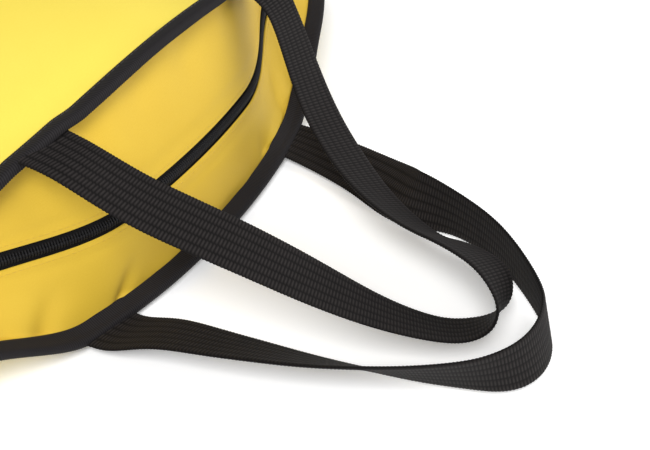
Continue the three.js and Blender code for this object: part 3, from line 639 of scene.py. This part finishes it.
# Folds of the gusset near the handles: start x, start t, end x, end t, half width, depth
GUSSET_FOLDS = [
    (112, 0.02, 101, 0.22, 5.0, 2.2),
    (128, 0.03, 134, 0.2, 7.0, 1.6),
    (150, 0.02, 146, 0.26, 9.0, 1.4),
    (68, 0.02, 58, 0.2, 4.0, 1.9),
    (106, 0.98, 118, 0.72, 6.0, 2.0),
    (124, 0.97, 140, 0.78, 8.0, 1.5),
    (64, 0.98, 50, 0.8, 6.0, 1.2),
    (20, 0.97, 26, 0.84, 9.0, 0.8),
    (-20, 0.97, -12, 0.82, 9.0, 0.8),
    (-66, 0.97, -54, 0.76, 8.0, 0.5),
    (-106, 0.98, -116, 0.72, 6.0, 1.8),
    (-66, 0.03, -60, 0.2, 6.0, 1.4),
    (-104, 0.02, -100, 0.26, 6.0, 2.0),
    (-122, 0.03, -130, 0.28, 8.0, 1.6),
    (10, 0.02, 4, 0.12, 10.0, 0.8),
]
FOLD_GAIN = 1.6
FOLD_FADE = 0.8
WALL_HEIGHT = 105.0

# Puckers along a seam: depth, reach from it, spacing, unevenness, and its noise's scale and seed
GUSSET_PUCKER = (0.55, 9.0, 6.3, 2.2, 40.0, 3.0)
PANEL_PUCKER = (0.5, 9.0, 7.1, 2.0, 45.0, 17.0)
# Slack of the cloth: depth, its noise's scale and seed, and the distance in which it grows
GUSSET_SLACK = (1.3, 55.0, 9.0, 14)
PANEL_SLACK = (1.6, 70.0, 21.0, 20)
# Where the gusset comes free of its seam and of the zip, and the share that is free beside the zip
SEAM_HOLD = (0.0, 2.0)
ZIP_HOLD = (2, 12)
FREE_AT_ZIP = 0.3
# The rear panel's slack lies outside the flat part that it rests on
REAR_SLACK_SHARE = (0.5, 0.8)
REAR_PUCKER_SHARE = 0.5

# Rows of a half of the gusset, and its hem beside the zip: a stitched dip and a rolled edge
FLANGE_ROWS = (FLANGE_LENGTH, 5.0, 2.4)
GUSSET_STEPS = 22
GUSSET_SPACING = 1.15
HALF_WALL = 44
HEM_INSET, HEM_WIDTH, HEM_DEPTH = 6.5, 1.6, 0.35
HEM_ROLL = 0.35
GUSSET_RUN, ROLL_RUN = 46, 46.6

PANEL_RINGS = [
    0.06, 0.14, 0.22, 0.3, 0.38, 0.46, 0.53, 0.6, 0.66, 0.72, 0.77, 0.82, 0.86, 0.9, 0.93, 0.955,
    0.975, 0.99,
]
PANEL_FLANGE_ROWS = (0.4, 2.6, 5.0, FLANGE_LENGTH)


def fold_depth(x, t):
    """Depth of the listed folds at a place on the top gusset."""
    depth = np.zeros_like(x)
    for x0, t0, x1, t1, width, deep in GUSSET_FOLDS:
        way = np.array([x1 - x0, (t1 - t0) * WALL_HEIGHT])
        off_x, off_v = x - x0, t * WALL_HEIGHT - t0 * WALL_HEIGHT
        share = np.clip((off_x * way[0] + off_v * way[1]) / (way @ way), 0, 1)
        apart = np.hypot(off_x - way[0] * share, off_v - way[1] * share)
        depth += deep * (1 - FOLD_FADE * share) * np.exp(-((apart / width) ** 2))
    return depth


def pucker(face, from_seam, figures):
    depth, reach, spacing, uneven, scale, seed = figures
    wave = np.sin(EDGE.run / spacing + uneven * ripple(face, scale, seed))
    return np.exp(-from_seam / reach) * depth * wave


def slack(face, from_seam, figures):
    depth, scale, seed, growth = figures
    return depth * ripple(face, scale, seed) * smooth(0, growth, from_seam)


def gusset_depth(t, half):
    """How far the cloth lies inside the plain gusset, with its folds, puckers and slack."""
    face = EDGE.wall(t, 0.0)
    spread = np.broadcast_to(t, EDGE.x.shape)
    folds = FOLD_GAIN * fold_depth(EDGE.x, spread) * smooth(*TOP_WALL, EDGE.y)
    from_seam = (spread if half == "rear" else 1 - spread) * EDGE.span
    from_zip = np.abs(0.5 - spread) * EDGE.span - ZIP_OPENING / 2
    free = FREE_AT_ZIP + (1 - FREE_AT_ZIP) * smooth(*ZIP_HOLD, from_zip)
    loose = folds + pucker(face, from_seam, GUSSET_PUCKER) + slack(face, from_seam, GUSSET_SLACK)
    return loose * (smooth(*SEAM_HOLD, from_seam) * free)


def gusset(half):
    inward, seam_edge = INWARD[half], SEAM_EDGE[half]
    zip_edge = 0.5 - inward * ZIP_OPENING / 2 / EDGE.span
    outside = [EDGE.flange(half, a, inward * FLANGE_FACE) for a in FLANGE_ROWS]
    inside = [EDGE.flange(half, a, inward * FLANGE_INNER) for a in FLANGE_ROWS]
    shares = [(k / GUSSET_STEPS) ** GUSSET_SPACING for k in range(GUSSET_STEPS + 1)]
    for share in shares:
        t = seam_edge + (zip_edge - seam_edge) * share
        depth = gusset_depth(t, half)
        from_hem = ((1 - share) * HALF_WALL - HEM_INSET) / HEM_WIDTH
        outside.append(EDGE.wall(t, depth + HEM_DEPTH * np.exp(-from_hem ** 2)))
        inside.append(EDGE.wall(t, depth + FABRIC))
    inside[len(FLANGE_ROWS)] = EDGE.flange(half, -FABRIC, inward * FLANGE_INNER)
    rolled = EDGE.wall(zip_edge + inward * HEM_ROLL / EDGE.span,
                       gusset_depth(zip_edge, half) + FABRIC / 2)
    offsets = [-a for a in FLANGE_ROWS] + [share * GUSSET_RUN for share in shares]
    lie = lie_of(EDGE.run, offsets + [ROLL_RUN] + offsets[::-1])
    return band(f"{half}_gusset_cloth", outside + [rolled] + inside[::-1], True, WALL_CLOTH_WITH_PAINTED_SHADE, lie)


def panel(half):
    """Domed cloth of a panel, pulled a little at its seam and slack towards its middle."""
    outward = OUTWARD[half]
    upper, lower = [], []
    for share in PANEL_RINGS:
        plain = EDGE.panel(half, share, 0.0)
        from_rim = (1 - share) * RIM_TO_MIDDLE
        pulled = pucker(plain, from_rim, PANEL_PUCKER)
        loose = slack(plain, from_rim, PANEL_SLACK)
        if half == "rear":
            loose = np.abs(loose) * smooth(*REAR_SLACK_SHARE, share)
            pulled = np.abs(pulled) * REAR_PUCKER_SHARE
        upper.append(EDGE.panel(half, share, 0.0, pulled + loose))
        lower.append(EDGE.panel(half, share, FABRIC, pulled + loose))
    for a in PANEL_FLANGE_ROWS:
        upper.append(EDGE.flange(half, a, outward * FLANGE_FACE))
        lower.append(EDGE.flange(half, a, outward * FLANGE_INNER))
    middle, inner = panel_middle(half, 0.0), panel_middle(half, FABRIC)
    return disc(f"{half}_panel_cloth_with_painted_light", upper, lower, middle, inner, PANEL_CLOTH_WITH_PAINTED_LIGHT)


for half, body in HALVES.items():
    cloth = gusset(half)
    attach(cloth, body)
    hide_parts(f"{half}_gusset")
    cover = panel(half)
    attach(cover, body)
    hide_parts(f"{half}_panel")


# Liner: film over foam, one tub in each half

LINER_RINGS = [0.1, 0.22, 0.34, 0.46, 0.56, 0.64, 0.71, 0.77, 0.82, 0.86]
LINER_STEPS = 6
# Depths of the film and of the back of the foam: in the panel, in the wall, and at the edge
PANEL_FILM, PANEL_BACK = 7.9, 4.0
WALL_FILM, WALL_BACK = 7.6, 5.4
EDGE_FILM, EDGE_BACK = 3.2, 2.5
# How much the last row of the wall thins towards the edge, in film and back
FILM_THINS, BACK_THINS = 1.5, 2.4
# Where the wall of the tub starts from the seam, and stops and ends short of the zip
LINER_START, LINER_STOP, LINER_END = 11.0, 10.0, 8.6
# Crinkles of the film: depth, and its noise's scale and seed
BROAD_CRINKLE = (0.7, 26.0, 31.0)
FINE_CRINKLE = (0.4, 11.0, 37.0)
WALL_CRINKLE = (0.6, 22.0, 41.0)
WALL_CRINKLE_DEPTH = 7.5


def crinkle(face, figures):
    depth, scale, seed = figures
    return depth * ripple(face, scale, seed)


def liner(half):
    inward, seam_edge = INWARD[half], SEAM_EDGE[half]
    upper, lower = [], []
    for share in LINER_RINGS:
        plain = EDGE.panel(half, share, 0.0)
        creased = crinkle(plain, BROAD_CRINKLE) + crinkle(plain, FINE_CRINKLE)
        upper.append(EDGE.panel(half, share, PANEL_FILM, creased))
        lower.append(EDGE.panel(half, share, PANEL_BACK))
    rise = np.abs(EDGE.middle[:, 2] - EDGE.seam[half][:, 2])
    start = seam_edge + inward * 0.5 * LINER_START / rise
    stop = 0.5 - inward * LINER_STOP / EDGE.span
    for k in range(LINER_STEPS + 1):
        t = start + (stop - start) * k / LINER_STEPS
        last = k == LINER_STEPS
        creased = crinkle(EDGE.wall(t, WALL_CRINKLE_DEPTH), WALL_CRINKLE)
        upper.append(EDGE.wall(t, WALL_FILM + creased - FILM_THINS * last))
        lower.append(EDGE.wall(t, WALL_BACK - BACK_THINS * last))
    edge = 0.5 - inward * LINER_END / EDGE.span
    upper.append(EDGE.wall(edge, EDGE_FILM))
    lower.append(EDGE.wall(edge, EDGE_BACK))
    middle, inner = panel_middle(half, PANEL_FILM), panel_middle(half, PANEL_BACK)
    return disc(f"{half}_liner", upper, lower, middle, inner, FILM)


for half, body in HALVES.items():
    tub = liner(half)
    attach(tub, body)
    layers = ("panel_foam", "panel_lining", "gusset_foam", "gusset_lining")
    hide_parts(*[f"{half}_{layer}" for layer in layers])


# Binding: ribbed tape folded over the seam's edge, and its stitches

RIB_PITCH = 1.1
RIB_HEIGHT = 0.1
RIB_EDGE = Edge(RIB_PITCH / 2)
# Waves of the tape: depth, noise scale and seed, and the reach at which they are full
TAPE_WAVE = (0.45, 30.0, 51.0)
WAVE_REACH = 8
# The tape's edge lies on the cloth: its lift, its underside, and how far it laps over the panel,
# or up the wall in the middle and at the corners
TAPE_LIFT = 0.75
TAPE_UNDERSIDE = 0.1
FRONT_LAP = 0.9
REAR_LAP = (2.4, 0.6)
REAR_LAP_TURN = (95, 140)
# It juts where a handle's end is sewn in
SEWN_JUT = 1.1
JUT_RISE, JUT_FALL = (67, 71), (71, 104)
# Rows of the fold: reach along the seam's flange, and height across it
BINDING_FOLD = [
    (1.2, TAPE_OUTER), (3.0, 2.65), (5.2, 2.67), (7.2, TAPE_OUTER), (8.4, 2.1), (9.0, 1.3),
    (BINDING_REACH, 0.0),
    (9.0, -1.3), (8.4, -2.1), (7.2, -TAPE_OUTER), (5.2, -TAPE_OUTER), (3.2, -TAPE_OUTER),
]
BINDING_INNER = [(8.0, -TAPE_INNER), (8.3, 0.0), (8.0, TAPE_INNER)]
# Heights under which a row is the fold's middle, and over which it no longer turns outward
FOLD_MIDDLE, FOLD_TURN = 0.1, 2.2
ROW_RUN = 1.4
# Stitches: pitch, length and width
BINDING_STITCH = (3.4, 2.7, 0.55)
ZIP_STITCH = (3.2, 2.5, 0.5)
BINDING_STITCH_REACH = 2.0
STITCH_LIFT = 0.1
# A stitch's section, and its sizes from end to end
STITCH_SECTION = [(-0.5, 0.0), (-0.3, 0.42), (0.3, 0.42), (0.5, 0.0), (0.0, -0.35)]
STITCH_SIZES = [(-0.5, 0.35), (-0.25, 0.95), (0.25, 0.95), (0.5, 0.35)]


def binding_lap(half, rise):
    """Top and underside of the tape's edge, up the rear wall or over the front panel."""
    if half == "front":
        share = 1 - FRONT_LAP / RIM_TO_MIDDLE
        return (RIB_EDGE.panel(half, share, -TAPE_LIFT - rise),
                RIB_EDGE.panel(half, share, -TAPE_UNDERSIDE))
    side = np.abs(RIB_EDGE.x)
    jut = SEWN_JUT * smooth(*JUT_RISE, side) * (1 - smooth(*JUT_FALL, side))
    jut = jut * smooth(*TOP_WALL, RIB_EDGE.y)
    t = (mix(*REAR_LAP, smooth(*REAR_LAP_TURN, side)) + jut) / RIB_EDGE.span
    return RIB_EDGE.wall(t, -TAPE_LIFT - rise), RIB_EDGE.wall(t, -TAPE_UNDERSIDE)


def binding(half):
    ridge = np.where(np.arange(len(RIB_EDGE.x)) % 2 == 0, RIB_HEIGHT, -RIB_HEIGHT)
    plain = np.zeros_like(ridge)
    wave = crinkle(RIB_EDGE.seam[half], TAPE_WAVE)

    def tape(a, b, rise):
        """A row of the tape at a reach along the seam's flange and a height across it."""
        lift = b + rise * np.sign(b) if abs(b) > FOLD_MIDDLE else plain
        reach = a + rise if abs(b) < FOLD_TURN else np.full_like(ridge, a)
        at = RIB_EDGE.seam[half] + RIB_EDGE.along[half] * reach[:, None]
        height = OUTWARD[half] * lift + wave * smooth(0, WAVE_REACH, a)
        return at + RIB_EDGE.across[half] * height[:, None]

    rows = [tape(a, b, ridge) for a, b in BINDING_FOLD]
    inner = [tape(a, b, plain) for a, b in BINDING_INNER]
    lap, underside = binding_lap(half, ridge)
    if half == "front":
        rows = [lap] + rows + [tape(2.4, -2.35, ridge), tape(2.2, -TAPE_INNER, plain)]
        rows += inner + [underside]
    else:
        rows = [tape(0.5, 2.35, ridge)] + rows + [tape(1.6, -2.8, ridge), lap, underside]
        rows += inner + [tape(0.5, TAPE_INNER, plain)]
    lie = lie_of(RIB_EDGE.run, [ROW_RUN * k for k in range(len(rows))])
    # The tops of the ribs get the finish's painted highlight.
    proud = np.stack([(ridge > 0) * 1.0] * len(rows), 1)
    return band(f"{half}_edge_binding", rows, True, BINDING, lie, proud)


def spaced(line, pitch):
    """Places and directions at an even pitch along a line of points."""
    run = run_along(line)
    wanted = np.arange(pitch / 2, run[-1], pitch)
    ways = sample(wanted + 0.5, run, line) - sample(wanted - 0.5, run, line)
    return sample(wanted, run, line), unit(ways)


def stitch_row(name, places, ways, ups, length, width, material):
    """Short rounded stitches along a line, half sunk in the cloth, each a small closed shape."""
    shape = band_faces(len(STITCH_SIZES), len(STITCH_SECTION), False)
    points, faces = [], []
    for place, way, up in zip(places, ways, ups):
        side = np.cross(up, way)
        first = len(points)
        for along, size in STITCH_SIZES:
            for s, h in STITCH_SECTION:
                points.append(place + way * along * length + (side * s + up * h) * width * size)
        faces += [tuple(first + i for i in face) for face in shape]
    return piece(name, points, faces, material)


for half, body in HALVES.items():
    tape = binding(half)
    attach(tape, body)
    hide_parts(f"{half}_binding")
    pitch, length, width = BINDING_STITCH
    height = OUTWARD[half] * (TAPE_OUTER + STITCH_LIFT)
    line = RIB_EDGE.flange(half, BINDING_STITCH_REACH, height)
    places, ways = spaced(np.vstack([line, line[:1]]), pitch)
    ups = square_to(ways, np.tile([0.0, 0.0, float(OUTWARD[half])], (len(places), 1)))
    thread = stitch_row(f"{half}_binding_stitches", places, ways, ups, length, width, BLACK_THREAD)
    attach(thread, body)


# Zip: tapes, interlocking teeth and the stitches that hold the tapes

TOOTH_PITCH = 1.4
ZIP_EDGE = Edge(TOOTH_PITCH)
ZIP_STATIONS = slice(0, ZIP_EDGE.zip_end + 1)
# Stations at the slider's end where the front half has no zip yet
FRONT_ZIP_SKIP = 14
# Section of a tape: distance from the zip's middle, and depth
ZIP_TAPE_SECTION = [
    (0.3, 1.6), (2.0, 1.6), (4.4, 1.75), (7.5, 1.9),
    (7.5, 2.5), (4.4, 2.4), (2.0, 2.3), (0.3, 2.2),
]
ZIP_TAPE_PROUD = 0.25
# A coil turn from its foot on the tape to its hook: distance from the middle, depth, radius
TOOTH_SHAPE = [
    (2.5, 0.55, 0.34), (1.7, -0.1, 0.42), (0.6, -0.42, 0.42), (-0.3, -0.4, 0.56),
    (-0.75, -0.05, 0.44),
]
TOOTH_SIDES = 6
TOOTH_FOOT = 2.0
ZIP_STITCH_INSET = 2.2


def zip_line(offset, depth, half):
    line = ZIP_EDGE.near_zip(offset, depth)[ZIP_STATIONS]
    return line[FRONT_ZIP_SKIP:] if half == "front" else line


def zip_tape(half):
    rows = [zip_line(OUTWARD[half] * offset, depth, half) for offset, depth in ZIP_TAPE_SECTION]
    run = np.arange(len(rows[0])) * TOOTH_PITCH
    lie = lie_of(run, [offset for offset, _ in ZIP_TAPE_SECTION])
    proud = np.full((len(run), len(rows)), ZIP_TAPE_PROUD)
    return band(f"{half}_zip_tape_cloth", rows, False, ZIP_TAPE, lie, proud)


def zip_teeth(half):
    """Coil turns: each rises from the tape, crosses the middle and hooks the other half's turns."""
    line = zip_line(0.0, 0.0, half)
    foot_line = zip_line(OUTWARD[half] * TOOTH_FOOT, 0.0, half)
    places, ways = spaced(line, TOOTH_PITCH)
    if half == "front":
        places = places + ways * (TOOTH_PITCH / 2)
    sides = square_to(ways, evenly(foot_line - line, len(places)))
    ups = np.cross(ways, sides) * OUTWARD[half]
    angles = np.linspace(0, 2 * math.pi, TOOTH_SIDES + 1)[:-1]
    shape = band_faces(len(TOOTH_SHAPE), TOOTH_SIDES, False)
    points, faces = [], []
    for place, way, side, up in zip(places, ways, sides, ups):
        first = len(points)
        for out, depth, radius in TOOTH_SHAPE:
            centre = place + side * out - up * depth
            for angle in angles:
                round_way = way * radius * math.cos(angle) + up * radius * math.sin(angle)
                points.append(centre + round_way)
        faces += [tuple(first + i for i in face) for face in shape]
    return piece(f"{half}_zip_teeth", points, faces, COIL)


for half, body in HALVES.items():
    ribbon = zip_tape(half)
    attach(ribbon, body)
    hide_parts(f"{half}_zip_tape")
    teeth = zip_teeth(half)
    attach(teeth, body)
    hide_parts(f"{half}_zip_coil")
    pitch, length, width = ZIP_STITCH
    t = 0.5 + OUTWARD[half] * (ZIP_OPENING / 2 + ZIP_STITCH_INSET) / EDGE.span
    line = EDGE.wall(t, gusset_depth(t, half))[: EDGE.zip_end + 1]
    places, ways = spaced(line, pitch)
    ups = square_to(ways, evenly(EDGE.face(t[:, None])[: EDGE.zip_end + 1], len(places)))
    thread = stitch_row(f"{half}_zip_stitches", places, ways, ups, length, width, YELLOW_THREAD)
    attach(thread, body)


# Rows of the base strip across the zip's line, and the depths of its face, rounding and back
STRIP_ROWS = [-4.2, -2.4, 0.0, 2.4, 4.2]
STRIP_FACE, STRIP_ROUND, STRIP_BACK = 0.35, 0.2, 1.3


def base_strip():
    """Strip of cloth along the base that the two halves fold on."""
    stop = EDGE.zip_end
    depths = [STRIP_FACE - STRIP_ROUND * math.cos(offset) for offset in STRIP_ROWS]
    rows = [EDGE.near_zip(offset, depth)[stop:] for offset, depth in zip(STRIP_ROWS, depths)]
    rows += [EDGE.near_zip(offset, STRIP_BACK)[stop:] for offset in STRIP_ROWS[::-1]]
    lie = lie_of(EDGE.run[stop:], STRIP_ROWS + STRIP_ROWS[::-1])
    return band("base_fold_cloth", rows, False, WALL_CLOTH_WITH_PAINTED_SHADE, lie)


strip = base_strip()
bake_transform(strip)
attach(strip, "base")
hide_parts("base_hinge_strip")


# Handles: woven webbing along its route, from under one binding fold to the other

PICK_PITCH = 1.65
PICK_STEPS = 5
WARP_ROWS = 6
ROW_STEPS = 5
ACROSS = WARP_ROWS * ROW_STEPS + 1
# The weave: how square a row's crown is, how picks slant and peak, how high they stand,
# how far the face lies under the webbing's thickness, and how its edge is thinned and serrated
ROW_CROWN = 0.4
PICK_SLANT = 0.45
PICK_PEAK = 1.2
PICK_RISE = 0.32
FACE_SINK = 0.2
EDGE_SHARE = 0.45
SERRATION = 0.15
# Distance in the finish between the two faces
FACES_APART = 40
# Reach of a sewn end into the binding, and the height on the outline above which it is looked for
SEWN_REACH = 5.5
SEWN_ABOVE = 60
LEAST_CHORD = 1e-3


def catmull(points, share):
    """Centripetal spline through points, at shares from 0 to 1 of its stretches."""
    last = len(points) - 1
    padded = np.vstack([2 * points[0] - points[1], points, 2 * points[-1] - points[-2]])
    found = []
    for value in share:
        at = min(int(value * last), last - 1)
        w = value * last - at
        p0, p1, p2, p3 = padded[at:at + 4]
        chords = (p1 - p0, p2 - p1, p3 - p2)
        d0, d1, d2 = (max(np.linalg.norm(chord) ** 0.5, LEAST_CHORD) for chord in chords)
        m1 = ((p1 - p0) / d0 - (p2 - p0) / (d0 + d1) + (p2 - p1) / d1) * d1
        m2 = ((p2 - p1) / d1 - (p3 - p1) / (d1 + d2) + (p3 - p2) / d2) * d1
        square, cube = 3 * (p2 - p1) - 2 * m1 - m2, 2 * (p1 - p2) + m1 + m2
        found.append(p1 + m1 * w + square * w ** 2 + cube * w ** 3)
    return np.array(found)


def soften(rows, width):
    """Rows averaged along their run, with the ends held."""
    reach = int(3 * width)
    weights = np.exp(-0.5 * (np.arange(-reach, reach + 1) / width) ** 2)
    weights /= weights.sum()
    before = np.repeat(2 * rows[:1], reach, 0) - rows[reach:0:-1]
    after = np.repeat(2 * rows[-1:], reach, 0) - rows[-2:-reach - 2:-1]
    ends = np.vstack([before, rows, after])
    return np.stack([np.convolve(ends[:, k], weights, "valid") for k in range(3)], 1)


def fold_place(half, x):
    """A point inside the binding where a handle's end is sewn, at a given x."""
    line = EDGE.flange(half, SEWN_REACH, 0.0)[EDGE.y > SEWN_ABOVE]
    line = line[np.argsort(line[:, 0])]
    return sample([x], line[:, 0], line)[0]


def handle_line(half, axis, route):
    """Distance along a handle, its middle line, and the ways across it and out of its face."""
    y, z = axis
    root = HANDLE_SPACING / 2
    roots = (root - ROOT_INSET[half], -root)
    sewn = [fold_place(half, x) for x in roots]
    ends = [np.array([x, y, z]) for x in roots]
    lying = [(x, y + out, height) for x, out, height, *_ in route]
    centres = np.array([sewn[0], ends[0], *lying, ends[1], sewn[1]], float)
    end_width = (HANDLE_END_WIDTH[half], 0, 0)
    widths = [(1, 0, 0), ROOT_WIDTH[half], *[row[3:] for row in route], end_width, end_width]
    widths = np.array([Vector(width).normalized() for width in widths])
    shares = np.linspace(0, 1, PATH_STEPS)
    path = soften(catmull(centres, shares), PATH_SPREAD)
    turn = soften(catmull(widths, shares), TWIST_SPREAD[half])
    run = run_along(path)
    wanted = np.arange(0, run[-1], PICK_PITCH / PICK_STEPS)
    path, turn = sample(wanted, run, path), sample(wanted, run, turn)
    tangent = unit(np.gradient(path, axis=0))
    turn = square_to(tangent, turn)
    return wanted, path, turn, np.cross(turn, tangent)


def handle(half, axis, route):
    """Webbing with two woven faces: rows of yarn whose picks stand proud in turn."""
    along, path, turn, face = handle_line(half, axis, route)
    serration = SERRATION * np.sin(2 * math.pi * along / PICK_PITCH)
    rows, offsets, proud = [], [], []
    for side in (1, -1):
        for k in range(ACROSS):
            share = k / (ACROSS - 1) if side > 0 else 1 - k / (ACROSS - 1)
            offset = (share - 0.5) * WEBBING_WIDTH
            row = min(int(share * WARP_ROWS), WARP_ROWS - 1)
            within = share * WARP_ROWS - row
            crown = math.sin(math.pi * within) ** ROW_CROWN if 0 < within < 1 else 0.0
            stagger = 0.5 * ((row + (side < 0)) % 2)
            pick = along / PICK_PITCH + stagger + PICK_SLANT * within
            rise = (0.5 + 0.5 * np.cos(2 * math.pi * pick)) ** PICK_PEAK * crown
            thick = WEBBING_THICKNESS / 2 + PICK_RISE * rise - FACE_SINK
            reach = np.full_like(along, offset)
            if k in (0, ACROSS - 1):
                thick = WEBBING_THICKNESS / 2 * EDGE_SHARE + PICK_RISE * rise - FACE_SINK
                reach = offset + serration * np.sign(offset)
            rows.append(path + turn * reach[:, None] + face * side * thick[:, None])
            offsets.append(offset + FACES_APART * side)
            # The picks' rise also sets the painted highlight on the raised yarn.
            proud.append(rise)
    lie = lie_of(along, offsets)
    return band(f"{half}_webbing", rows, False, WEBBING, lie, np.stack(proud, 1))


HANDLES = (
    ("front", FRONT_HANDLE_AXIS, FRONT_HANDLE_ROUTE),
    ("rear", REAR_HANDLE_AXIS, REAR_HANDLE_ROUTE),
)
for half, axis, route in HANDLES:
    body = HALVES[half]
    strap = handle(half, axis, route)
    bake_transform(strap)
    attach(strap, body)
    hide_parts(f"{half}_handle", f"{half}_handle_end_left", f"{half}_handle_end_right")


# Slider and pull keep their solids
for name in ("zip_slider", "zip_pull"):
    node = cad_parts[name]
    node.data.materials.clear()
    node.data.materials.append(CASTING)


# Floor and light

FLOOR_SIZE = 8.0
FLOOR_DROP = 0.0005
FLOOR_GLOW = 0.23
ROOM_LIGHT = 0.29

floor_finish = Finish("floor", Roughness=0.6, Specular_IOR_Level=0.1, Emission_Strength=FLOOR_GLOW)
grain = floor_finish.speckle(floor_finish.place(), scale=30.0)
floor_finish.colour(floor_finish.blend(grain, (0.93, 0.93, 0.93, 1), (0.95, 0.95, 0.95, 1)))
rays = ("Camera", "Glossy", "Transmission")
seen = sum((floor_finish.node("LightPath", {}, out=f"Is {ray} Ray") for ray in rays), 0)
glow = floor_finish.blend(floor_finish.ramp(seen, low=0.0, high=1.0), (0, 0, 0, 1), (1, 1, 1, 1))
floor_finish.feed(floor_finish.shader.inputs["Emission Color"], glow)
bpy.ops.mesh.primitive_plane_add(size=FLOOR_SIZE, location=(0, 0, -FLOOR_DROP))
floor = bpy.context.object
floor.name = "floor"
floor.data.materials.append(floor_finish.material)
bpy.ops.object.transform_apply(location=True, rotation=True, scale=True)

world = bpy.data.worlds.new("studio")
world.use_nodes = True
background = world.node_tree.nodes["Background"]
background.inputs["Color"].default_value = (1, 1, 1, 1)
background.inputs["Strength"].default_value = ROOM_LIGHT
bpy.context.scene.world = world


def soft_light(name, place, aim, size, power):
    light = bpy.data.lights.new(name, "AREA")
    light.shape = "SQUARE"
    light.size = size
    light.energy = power
    made = bpy.data.objects.new(name, light)
    made.location = place
    made.rotation_mode = "QUATERNION"
    made.rotation_quaternion = (Vector(aim) - Vector(place)).to_track_quat("-Z", "Y")
    bpy.context.scene.collection.objects.link(made)


soft_light("key", place=(1.16, 0.7, 1.59), aim=(0.0, 0.15, 0.0), size=0.8, power=36.0)
soft_light("side fill", place=(-0.9, 1.5, 0.75), aim=(-0.1, 0.12, 0.05), size=2.0, power=22.0)

bpy.context.view_layer.update()
